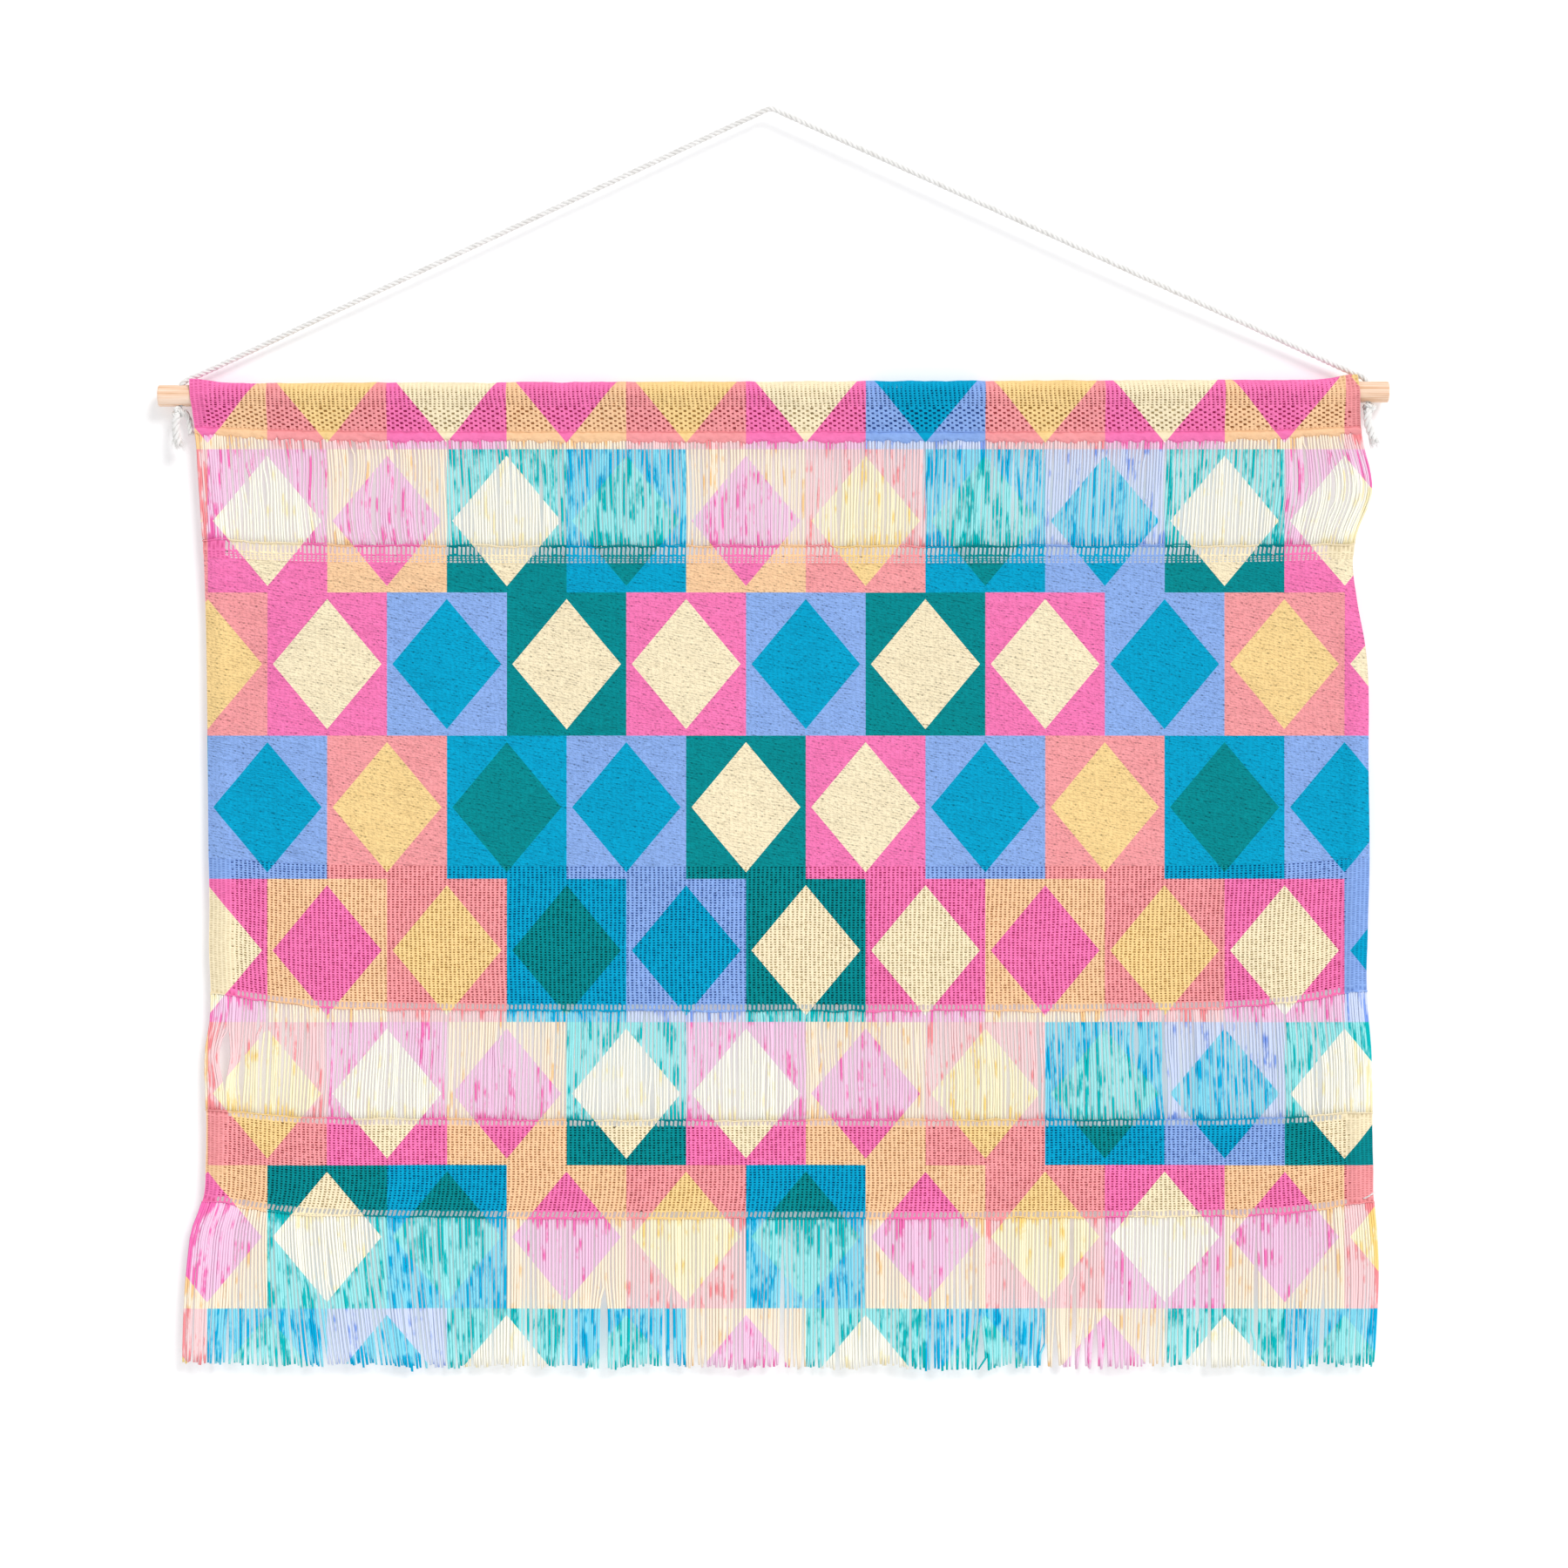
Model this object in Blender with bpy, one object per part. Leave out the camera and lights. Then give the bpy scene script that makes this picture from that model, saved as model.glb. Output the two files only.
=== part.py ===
"""Wall hanging of woven cotton on a wooden dowel, with its hanging cord.

Metres, +Z up, front towards -Y. The origin is the point where the cord hangs, under its bend.
A drop is a distance below that point.
"""
import bisect
import math
import random
from collections import namedtuple

import bmesh
import bpy
import numpy as np
from mathutils import Vector

SEED = 11
GAP = 0.0003

DOWEL_DIAMETER = 0.019
DOWEL_LEFT_END = -0.5441
DOWEL_RIGHT_END = 0.5484
DOWEL_LEFT_DROP = 0.2525
DOWEL_RIGHT_DROP = 0.2490
DOWEL_SIDES = 32
DOWEL_END_ROUND = 0.0012
DOWEL_END_STEPS = 2
CORD_HOLE_DIAMETER = 0.0078
CORD_HOLE_PLACES = (-0.5236, 0.5294)
CORD_HOLE_SIDES = 24

CLOTH_WIDTH = 1.035
CLOTH_THICKNESS = 0.0016
CLIMB_REACH = 0.060
PANEL_ROWS = 10
LOWER_PANEL_ROWS = 3

SELVAGE_RIDGE_PLACE = 0.013
SELVAGE_RIDGE_WIDTH = 0.008
SELVAGE_RIDGE_HEIGHT = 0.0024
EDGE_CURL = 0.0010
WAVE_DEPTH = 0.0016
WAVE_LENGTH = 0.29
WAVE_DRIFT = 3.1
WAVE_START_DROP = 0.30
WAVE_FULL_DROP = 0.45

SLEEVE_CLEARANCE = 0.00045
SLEEVE_WALL = 0.0013
SLEEVE_ARC_STEPS = 10
SLEEVE_APEX_HALF = 0.0011
SLEEVE_INNER_APEX_HALF = 0.0002
SLEEVE_INNER_APEX_RISE = 0.0035
SLEEVE_PUFF = 0.0060
SLEEVE_PUFF_REACH = 0.022
SLEEVE_PUFF_ANGLE = math.radians(28.0)
SLEEVE_PUFF_SPREAD = math.radians(24.0)

LOCKS = 88
LOCK_FILL = 0.78
STRIP_HEIGHT = 0.003
STRING_THICKNESS = 0.0014
STRING_JITTER = 0.0005
STRING_DEPTH_JITTER = 0.0007
FRINGE_JITTER = 0.0018
FRINGE_LENGTH_JITTER = 0.0045
FRINGE_TIP_WIDTH = 0.72
FRINGE_LEVELS = (0.35, 0.68, 1.0)
FRINGE_LEAN = 0.0075
FRINGE_LEAN_PLACE = 0.13
FRINGE_LEAN_SPREAD = 0.07
STATION_STEPS = (0, 1, 2, 3, 4, 6, 9, 14, 20, 26, 32, 38, 44, 50, 56, 62, 68, 74, 79, 82, 84, 85, 86, 87, 88)
STATIONS = [step / LOCKS for step in STATION_STEPS]

Outline = namedtuple("Outline", "place drop left right")
OUTLINE = (
    Outline("pocket top", 0.2367, 0.5151, 0.5205),
    Outline("seam", 0.2870, 0.5116, 0.5248),
    Outline("upper strings", 0.3404, 0.5070, 0.5329),
    Outline("upper strings foot", 0.3745, 0.5050, 0.5205),
    Outline("neck", 0.4000, 0.5040, 0.5168),
    Outline("shoulder", 0.4333, 0.5030, 0.5205),
    Outline("upper panel", 0.4743, 0.5020, 0.5279),
    Outline("middle panel", 0.5819, 0.5008, 0.5310),
    Outline("panel mesh", 0.6717, 0.5000, 0.5320),
    Outline("panel mesh foot", 0.7661, 0.4988, 0.5294),
    Outline("panel foot", 0.7917, 0.4980, 0.5300),
    Outline("lower strings", 0.8381, 0.5020, 0.5341),
    Outline("lower panel", 0.9070, 0.5023, 0.5348),
    Outline("lower panel foot", 0.9689, 0.5054, 0.5360),
    Outline("fringe root", 0.9952, 0.5147, 0.5385),
    Outline("fringe", 1.0184, 0.5175, 0.5400),
    Outline("fringe end", 1.1150, 0.5212, 0.5365),
)

Line = namedtuple("Line", "drop rise_left rise_right")
SEAM = Line(0.2847, 0.0046, 0.0046)
HEADER_FOOT = Line(0.2932, 0.0070, 0.0070)
UPPER_THREAD = Line(0.3861, 0.0060, 0.0020)
PANEL_THREAD = Line(0.7994, 0.0155, 0.0186)
LOWER_THREAD = Line(0.8962, 0.0100, 0.0070)
FRINGE_THREAD = Line(0.9836, 0.0155, 0.0140)
FRINGE_END = Line(1.1152, 0.0060, 0.0020)

CORD_DIAMETER = 0.005
CORD_STEP = 0.018
CORD_RESOLUTION = 2
CORD_ROUTE = (
    (-0.5246, 0.0000, -0.2620),
    (-0.5246, 0.0000, -0.2550),
    (-0.5245, 0.0000, -0.2480),
    (-0.5239, 0.0003, -0.2437),
    (-0.5217, 0.0010, -0.2404),
    (-0.5185, 0.0022, -0.2382),
    (-0.5080, 0.0044, -0.2333),
    (-0.4800, 0.0044, -0.2203),
    (-0.4000, 0.0020, -0.1830),
    (-0.3000, 0.0000, -0.1364),
    (-0.2000, 0.0000, -0.0897),
    (-0.1000, 0.0000, -0.0431),
    (-0.0400, 0.0000, -0.0151),
    (-0.0100, 0.0000, -0.0012),
    (-0.0042, 0.0000, 0.0016),
    (0.0000, 0.0000, 0.0025),
    (0.0042, 0.0000, 0.0016),
    (0.0100, 0.0000, -0.0011),
    (0.0400, 0.0000, -0.0147),
    (0.1000, 0.0000, -0.0420),
    (0.2000, 0.0000, -0.0874),
    (0.3000, 0.0000, -0.1329),
    (0.4000, 0.0020, -0.1783),
    (0.4850, 0.0044, -0.2170),
    (0.5130, 0.0044, -0.2297),
    (0.5245, 0.0024, -0.2350),
    (0.5275, 0.0012, -0.2370),
    (0.5298, 0.0003, -0.2406),
    (0.5303, 0.0000, -0.2446),
    (0.5304, 0.0000, -0.2516),
    (0.5304, 0.0000, -0.2586),
)

Knot = namedtuple("Knot", "name x y drop half_x half_y half_z")
KNOTS = (
    Knot("knot_left", -0.5262, -0.0022, 0.2672, 0.0058, 0.0060, 0.0047),
    Knot("knot_right", 0.5314, -0.0022, 0.2638, 0.0060, 0.0060, 0.0047),
)
KNOT_SEGMENTS = 12
KNOT_RINGS = 8

Tail = namedtuple("Tail", "name start_radius end_radius route")
TAILS = (
    Tail("tail_left", 0.0034, 0.0040, (
        (-0.5276, -0.0040, -0.2726),
        (-0.5281, -0.0042, -0.2790),
        (-0.5275, -0.0040, -0.2870),
        (-0.5262, -0.0036, -0.2940),
        (-0.5250, -0.0034, -0.3000),
    )),
    Tail("tail_left_short", 0.0024, 0.0028, (
        (-0.5193, 0.0029, -0.2672),
        (-0.5181, 0.0038, -0.2722),
        (-0.5167, 0.0042, -0.2790),
        (-0.5160, 0.0042, -0.2870),
    )),
    Tail("tail_right", 0.0034, 0.0042, (
        (0.5296, -0.0040, -0.2692),
        (0.5298, -0.0044, -0.2760),
        (0.5318, -0.0044, -0.2830),
        (0.5345, -0.0042, -0.2900),
        (0.5364, -0.0040, -0.2968),
    )),
)
TAIL_SIDES = 8

Finish = namedtuple("Finish", "name colour roughness")
WOOD = Finish("pale_wood", (0.78, 0.55, 0.36, 1.0), 0.55)
ROPE = Finish("white_rope", (0.82, 0.81, 0.79, 1.0), 0.9)
PINK_CLOTH = Finish("pink_cloth", (0.87, 0.24, 0.50, 1.0), 0.9)
BLUE_CLOTH = Finish("turquoise_cloth", (0.03, 0.38, 0.60, 1.0), 0.9)
PEACH_CLOTH = Finish("peach_cloth", (0.90, 0.62, 0.38, 1.0), 0.9)
PALE_STRINGS = Finish("pale_strings", (0.70, 0.80, 0.86, 1.0), 0.9)


def clear_scene():
    for thing in list(bpy.data.objects):
        bpy.data.objects.remove(thing, do_unlink=True)


def make_material(finish):
    material = bpy.data.materials.new(finish.name)
    material.use_nodes = True
    shader = material.node_tree.nodes["Principled BSDF"]
    shader.inputs["Base Color"].default_value = finish.colour
    shader.inputs["Roughness"].default_value = finish.roughness
    shader.inputs["Metallic"].default_value = 0.0
    material.diffuse_color = finish.colour
    return material


def add_object(name, mesh, finish):
    thing = bpy.data.objects.new(name, mesh)
    bpy.context.scene.collection.objects.link(thing)
    mesh.materials.append(make_material(finish))
    return thing


def object_from_bmesh(name, bm, finish, sharp_angle=math.radians(40.0)):
    bmesh.ops.recalc_face_normals(bm, faces=bm.faces[:])
    mesh = bpy.data.meshes.new(name)
    bm.to_mesh(mesh)
    bm.free()
    mesh.shade_smooth()
    mesh.set_sharp_from_angle(angle=sharp_angle)
    return add_object(name, mesh, finish)


def lerp(a, b, t):
    return a + (b - a) * t


def smoothstep(low, high, value):
    t = min(max((value - low) / (high - low), 0.0), 1.0)
    return t * t * (3.0 - 2.0 * t)


def smooth_lookup(places, values, place):
    """Cubic curve through a table's points, held level past both ends."""
    place = min(max(place, places[0]), places[-1])
    i = min(bisect.bisect_right(places, place), len(places) - 1) - 1
    slopes = np.gradient(values, places)
    span = places[i + 1] - places[i]
    t = (place - places[i]) / span
    start = (2 * t ** 3 - 3 * t ** 2 + 1) * values[i] + (t ** 3 - 2 * t ** 2 + t) * span * slopes[i]
    end = (3 * t ** 2 - 2 * t ** 3) * values[i + 1] + (t ** 3 - t ** 2) * span * slopes[i + 1]
    return float(start + end)


def across(u, drop):
    """Sideways place of a point that lies a share u of the way from the left edge to the right."""
    places = [row.drop for row in OUTLINE]
    left = smooth_lookup(places, [row.left for row in OUTLINE], drop)
    right = smooth_lookup(places, [row.right for row in OUTLINE], drop)
    return lerp(-left, right, u)


def line_drop(line, u):
    """Drop of a band's line, which climbs towards both side edges."""
    from_left = u * CLOTH_WIDTH / CLIMB_REACH
    from_right = (1.0 - u) * CLOTH_WIDTH / CLIMB_REACH
    climb = line.rise_left / (1.0 + from_left ** 2) + line.rise_right / (1.0 + from_right ** 2)
    return line.drop - climb


def cloth_depth(u, drop):
    """Depth of the hanging cloth: broad waves, a ridge along each selvage, edges curled back."""
    from_edge = min(u, 1.0 - u) * CLOTH_WIDTH
    ridge = math.exp(-((from_edge - SELVAGE_RIDGE_PLACE) / SELVAGE_RIDGE_WIDTH) ** 2)
    curl = math.exp(-from_edge / SELVAGE_RIDGE_WIDTH)
    turn = 2.0 * math.pi * u * CLOTH_WIDTH / WAVE_LENGTH
    wave = math.sin(turn + WAVE_DRIFT * drop) + 0.5 * math.sin(1.7 * turn - 2.0 * WAVE_DRIFT * drop)
    grown = smoothstep(WAVE_START_DROP, WAVE_FULL_DROP, drop)
    return grown * (WAVE_DEPTH * wave - SELVAGE_RIDGE_HEIGHT * ridge + EDGE_CURL * curl)


def cloth_point(u, drop):
    return Vector((across(u, drop), cloth_depth(u, drop), -drop))


def point_on_line(line, u, shift=0.0):
    """Point of a band's line, straight between stations, so that neighbours share its run."""
    i = min(bisect.bisect_right(STATIONS, u), len(STATIONS) - 1) - 1
    low, high = STATIONS[i], STATIONS[i + 1]
    start = cloth_point(low, line_drop(line, low) + shift)
    end = cloth_point(high, line_drop(line, high) + shift)
    return start.lerp(end, (u - low) / (high - low))


def thick_pair(bm, point, thickness):
    """Front and back corner of a sheet at one point."""
    half = Vector((0.0, thickness / 2.0, 0.0))
    return bm.verts.new(point - half), bm.verts.new(point + half)


def make_sheet(name, top, top_shift, foot, foot_shift, rows, finish):
    """Closed sheet of cloth between two band lines."""
    bm = bmesh.new()
    grid = []
    for row in range(rows + 1):
        t = row / rows
        pairs = []
        for u in STATIONS:
            high = line_drop(top, u) + top_shift
            low = line_drop(foot, u) + foot_shift
            pairs.append(thick_pair(bm, cloth_point(u, lerp(high, low, t)), CLOTH_THICKNESS))
        grid.append(pairs)
    columns = len(STATIONS)
    for row in range(rows):
        for col in range(columns - 1):
            for side in (0, 1):
                bm.faces.new([grid[row][col][side], grid[row][col + 1][side],
                              grid[row + 1][col + 1][side], grid[row + 1][col][side]])
    for row in (0, rows):
        for col in range(columns - 1):
            a, b = grid[row][col], grid[row][col + 1]
            bm.faces.new([a[0], b[0], b[1], a[1]])
    for col in (0, columns - 1):
        for row in range(rows):
            a, b = grid[row][col], grid[row + 1][col]
            bm.faces.new([a[0], b[0], b[1], a[1]])
    return object_from_bmesh(name, bm, finish)


def lock_span(index):
    """Left and right side of a lock's root, as shares of the width."""
    centre = (index + 0.5) / LOCKS
    half = 0.5 * LOCK_FILL / LOCKS
    return centre - half, centre + half


def add_strip(bm, line, outer_shift, inner_shift):
    """Backing strip whose inner side is open at each lock's root. Returns the open roots."""
    outer = [thick_pair(bm, point_on_line(line, u, outer_shift), CLOTH_THICKNESS) for u in STATIONS]
    inner = [thick_pair(bm, point_on_line(line, u, inner_shift), CLOTH_THICKNESS) for u in STATIONS]
    roots = []
    for i in range(len(STATIONS) - 1):
        run = [inner[i]]
        for index in range(STATION_STEPS[i], STATION_STEPS[i + 1]):
            left, right = (thick_pair(bm, point_on_line(line, u, inner_shift), CLOTH_THICKNESS)
                           for u in lock_span(index))
            roots.append((left[0], right[0], right[1], left[1]))
            run += [left, right]
        run.append(inner[i + 1])
        for side in (0, 1):
            bm.faces.new([outer[i][side], outer[i + 1][side]] + [pair[side] for pair in reversed(run)])
        for a, b in zip(run[0::2], run[1::2]):
            bm.faces.new([a[0], b[0], b[1], a[1]])
        bm.faces.new([outer[i][0], outer[i + 1][0], outer[i + 1][1], outer[i][1]])
    for end in (0, -1):
        bm.faces.new([outer[end][0], inner[end][0], inner[end][1], outer[end][1]])
    return roots


def ring_at(bm, left, right, depth_shift, thickness):
    """Four corners of a lock's section between two points of the cloth."""
    half = thickness / 2.0
    corners = ((left, -half), (right, -half), (right, half), (left, half))
    return tuple(bm.verts.new(point + Vector((0.0, depth_shift + offset, 0.0))) for point, offset in corners)


def bridge(bm, first, second):
    for k in range(4):
        n = (k + 1) % 4
        bm.faces.new([first[k], first[n], second[n], second[k]])


def make_string_band(name, top, foot, top_shift, draw):
    """Unwoven warp between two backing strips."""
    bm = bmesh.new()
    upper = add_strip(bm, top, top_shift, top_shift + STRIP_HEIGHT)
    lower = add_strip(bm, foot, STRIP_HEIGHT / 2.0, -STRIP_HEIGHT / 2.0)
    for index in range(LOCKS):
        sides = []
        sway = draw.uniform(-STRING_JITTER, STRING_JITTER)
        for u in lock_span(index):
            high = line_drop(top, u) + top_shift
            low = line_drop(foot, u)
            sides.append(cloth_point(u, 0.5 * (high + low)) + Vector((sway, 0.0, 0.0)))
        depth_shift = draw.uniform(-STRING_DEPTH_JITTER, STRING_DEPTH_JITTER)
        middle = ring_at(bm, sides[0], sides[1], depth_shift, STRING_THICKNESS)
        bridge(bm, upper[index], middle)
        bridge(bm, middle, lower[index])
    return object_from_bmesh(name, bm, PALE_STRINGS)


def fringe_lean(u):
    """The fringe's left part leans to the right."""
    away = (u * CLOTH_WIDTH - FRINGE_LEAN_PLACE) / FRINGE_LEAN_SPREAD
    return FRINGE_LEAN * math.exp(-away ** 2)


def make_fringe(draw):
    bm = bmesh.new()
    roots = add_strip(bm, FRINGE_THREAD, -STRIP_HEIGHT / 2.0, STRIP_HEIGHT / 2.0)
    for index in range(LOCKS):
        left_u, right_u = lock_span(index)
        middle_u = 0.5 * (left_u + right_u)
        extra = draw.uniform(-FRINGE_LENGTH_JITTER, FRINGE_LENGTH_JITTER)
        sway = draw.uniform(-FRINGE_JITTER, FRINGE_JITTER)
        depth_shift = draw.uniform(-STRING_DEPTH_JITTER, STRING_DEPTH_JITTER)
        previous = roots[index]
        for level in FRINGE_LEVELS:
            low = line_drop(FRINGE_END, middle_u) + extra
            drop = lerp(line_drop(FRINGE_THREAD, middle_u), low, level)
            narrow = lerp(1.0, FRINGE_TIP_WIDTH, level)
            shift = Vector((level * (sway + fringe_lean(middle_u)), 0.0, 0.0))
            corners = [cloth_point(lerp(middle_u, u, narrow), drop) + shift for u in (left_u, right_u)]
            ring = ring_at(bm, corners[0], corners[1], level * depth_shift, STRING_THICKNESS)
            bridge(bm, previous, ring)
            previous = ring
        bm.faces.new(previous)
    return object_from_bmesh("bottom_fringe", bm, PALE_STRINGS)


def dowel_drop(x):
    return lerp(DOWEL_LEFT_DROP, DOWEL_RIGHT_DROP, (x - DOWEL_LEFT_END) / (DOWEL_RIGHT_END - DOWEL_LEFT_END))


def sleeve_section(u):
    """Outer and inner outline of the pocket round the dowel, from its seam at the back to the front."""
    axis = dowel_drop(across(u, DOWEL_LEFT_DROP))
    seam = line_drop(SEAM, u)
    inner_radius = DOWEL_DIAMETER / 2.0 + SLEEVE_CLEARANCE
    outer_radius = inner_radius + SLEEVE_WALL
    leave = math.acos(outer_radius / (seam - axis))
    from_edge = min(u, 1.0 - u) * CLOTH_WIDTH
    puff = SLEEVE_PUFF * math.exp(-(from_edge / SLEEVE_PUFF_REACH) ** 2)
    outer = [(SLEEVE_APEX_HALF, seam)]
    inner = [(SLEEVE_INNER_APEX_HALF, seam - SLEEVE_INNER_APEX_RISE)]
    for step in range(SLEEVE_ARC_STEPS + 1):
        angle = lerp(leave, 2.0 * math.pi - leave, step / SLEEVE_ARC_STEPS)
        lift = puff * math.exp(-((angle - math.pi - SLEEVE_PUFF_ANGLE) / SLEEVE_PUFF_SPREAD) ** 2)
        for outline, radius in ((outer, outer_radius), (inner, inner_radius)):
            outline.append(((radius + lift) * math.sin(angle), axis + (radius + lift) * math.cos(angle)))
    outer.append((-SLEEVE_APEX_HALF, seam))
    inner.append((-SLEEVE_INNER_APEX_HALF, seam - SLEEVE_INNER_APEX_RISE))
    return outer, inner


def make_sleeve():
    """Rod pocket with the closed strip under its seam."""
    bm = bmesh.new()
    sections = []
    for u in STATIONS:
        outer, inner = sleeve_section(u)
        foot = point_on_line(HEADER_FOOT, u)
        rings = []
        for outline in (outer, inner):
            rings.append([bm.verts.new((across(u, drop), depth, -drop)) for depth, drop in outline])
        front, back = thick_pair(bm, foot, CLOTH_THICKNESS)
        sections.append((rings[0], rings[1], front, back))
    for a, b in zip(sections, sections[1:]):
        for ring in (0, 1):
            for k in range(len(a[ring]) - 1):
                bm.faces.new([a[ring][k], a[ring][k + 1], b[ring][k + 1], b[ring][k]])
        bm.faces.new([a[1][0], a[1][-1], b[1][-1], b[1][0]])
        bm.faces.new([a[0][0], a[3], b[3], b[0][0]])
        bm.faces.new([a[0][-1], a[2], b[2], b[0][-1]])
        bm.faces.new([a[2], a[3], b[3], b[2]])
    for outer, inner, front, back in (sections[0], sections[-1]):
        for k in range(len(outer) - 1):
            bm.faces.new([outer[k], outer[k + 1], inner[k + 1], inner[k]])
        bm.faces.new([outer[0], inner[0], inner[-1], outer[-1], front, back])
    return object_from_bmesh("header_sleeve", bm, PINK_CLOTH)


def make_dowel():
    """Turned rod with softened ends and a hole down through it near each end."""
    radius = DOWEL_DIAMETER / 2.0
    profile = [(DOWEL_LEFT_END, radius - DOWEL_END_ROUND)]
    for step in range(1, DOWEL_END_STEPS + 1):
        turn = 0.5 * math.pi * step / DOWEL_END_STEPS
        profile.append((DOWEL_LEFT_END + DOWEL_END_ROUND * (1.0 - math.cos(turn)),
                        radius - DOWEL_END_ROUND * (1.0 - math.sin(turn))))
    middle = DOWEL_LEFT_END + DOWEL_RIGHT_END
    profile += [(middle - x, r) for x, r in reversed(profile)]
    bm = bmesh.new()
    rings = []
    for x, r in profile:
        ring = []
        for k in range(DOWEL_SIDES):
            turn = 2.0 * math.pi * k / DOWEL_SIDES
            ring.append(bm.verts.new((x, r * math.sin(turn), r * math.cos(turn) - dowel_drop(x))))
        rings.append(ring)
    for a, b in zip(rings, rings[1:]):
        for k in range(DOWEL_SIDES):
            n = (k + 1) % DOWEL_SIDES
            bm.faces.new([a[k], a[n], b[n], b[k]])
    bm.faces.new(rings[0])
    bm.faces.new(rings[-1])
    dowel = object_from_bmesh("dowel", bm, WOOD)
    for number, place in enumerate(CORD_HOLE_PLACES):
        drill_down(dowel, number, place)
    return dowel


def drill_down(dowel, number, place):
    bm = bmesh.new()
    bmesh.ops.create_cone(bm, cap_ends=True, segments=CORD_HOLE_SIDES, radius1=CORD_HOLE_DIAMETER / 2.0,
                          radius2=CORD_HOLE_DIAMETER / 2.0, depth=2.0 * DOWEL_DIAMETER)
    cutter = object_from_bmesh(f"hole_cutter_{number}", bm, WOOD)
    cutter.location = (place, 0.0, -dowel_drop(place))
    cutter.hide_render = True
    cutter.display_type = "WIRE"
    cut = dowel.modifiers.new(f"cord_hole_{number}", "BOOLEAN")
    cut.operation = "DIFFERENCE"
    cut.solver = "EXACT"
    cut.object = cutter


def smooth_route(route, step):
    """Points along a smooth curve through the route, the route's own points among them."""
    points = [Vector(p) for p in route]
    points = [2 * points[0] - points[1]] + points + [2 * points[-1] - points[-2]]
    result = [points[1]]
    for p0, p1, p2, p3 in zip(points, points[1:], points[2:], points[3:]):
        length = (p2 - p1).length
        before = (p1 - p0).length
        after = (p3 - p2).length
        start = ((p1 - p0) / before + (p2 - p1) / length) * 0.5 * length
        end = ((p2 - p1) / length + (p3 - p2) / after) * 0.5 * length
        count = max(1, round(length / step))
        for k in range(1, count + 1):
            t = k / count
            result.append((2 * t ** 3 - 3 * t ** 2 + 1) * p1 + (t ** 3 - 2 * t ** 2 + t) * start
                          + (3 * t ** 2 - 2 * t ** 3) * p2 + (t ** 3 - t ** 2) * end)
    return result


def make_cord():
    points = smooth_route(CORD_ROUTE, CORD_STEP)
    curve = bpy.data.curves.new("hanging_cord", "CURVE")
    curve.dimensions = "3D"
    curve.bevel_depth = CORD_DIAMETER / 2.0
    curve.bevel_resolution = CORD_RESOLUTION
    curve.use_fill_caps = True
    spline = curve.splines.new("POLY")
    spline.points.add(len(points) - 1)
    for slot, point in zip(spline.points, points):
        slot.co = (point.x, point.y, point.z, 1.0)
    return add_object("hanging_cord", curve, ROPE)


def make_knot(knot):
    """Stopper knot, a flattened lump of the cord's own turns."""
    bm = bmesh.new()
    bmesh.ops.create_uvsphere(bm, u_segments=KNOT_SEGMENTS, v_segments=KNOT_RINGS, radius=1.0)
    for vert in bm.verts:
        vert.co = (knot.x + knot.half_x * vert.co.x, knot.y + knot.half_y * vert.co.y,
                   knot.half_z * vert.co.z - knot.drop)
    return object_from_bmesh(knot.name, bm, ROPE)


def make_tail(tail):
    """Free end of the cord under its knot, opened a little at its cut end."""
    points = smooth_route(tail.route, 2.0 * CORD_DIAMETER)
    bm = bmesh.new()
    rings = []
    for i, point in enumerate(points):
        ahead = points[min(i + 1, len(points) - 1)] - points[max(i - 1, 0)]
        side = Vector((0.0, 1.0, 0.0)).cross(ahead).normalized()
        front = ahead.cross(side).normalized()
        radius = lerp(tail.start_radius, tail.end_radius, i / (len(points) - 1))
        ring = []
        for k in range(TAIL_SIDES):
            turn = 2.0 * math.pi * k / TAIL_SIDES
            ring.append(bm.verts.new(point + radius * (math.cos(turn) * side + math.sin(turn) * front)))
        rings.append(ring)
    for a, b in zip(rings, rings[1:]):
        for k in range(TAIL_SIDES):
            n = (k + 1) % TAIL_SIDES
            bm.faces.new([a[k], a[n], b[n], b[k]])
    bm.faces.new(rings[0])
    bm.faces.new(rings[-1])
    return object_from_bmesh(tail.name, bm, ROPE)


def build():
    clear_scene()
    draw = random.Random(SEED)
    make_dowel()
    make_sleeve()
    make_string_band("upper_strings", HEADER_FOOT, UPPER_THREAD, GAP, draw)
    strip_side = STRIP_HEIGHT / 2.0 + GAP
    make_sheet("main_panel", UPPER_THREAD, strip_side, PANEL_THREAD, -strip_side, PANEL_ROWS, BLUE_CLOTH)
    make_string_band("lower_strings", PANEL_THREAD, LOWER_THREAD, -STRIP_HEIGHT / 2.0, draw)
    make_sheet("lower_panel", LOWER_THREAD, strip_side, FRINGE_THREAD, -strip_side, LOWER_PANEL_ROWS,
               PEACH_CLOTH)
    make_fringe(draw)
    make_cord()
    for knot in KNOTS:
        make_knot(knot)
    for tail in TAILS:
        make_tail(tail)


build()
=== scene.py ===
"""Looks of the wall hanging: woven bands, unwoven strings, twisted cord and wooden dowel.

Metres, +Z up, front towards -Y. A drop is a distance below the point where the cord hangs.
"""

import math

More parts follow.
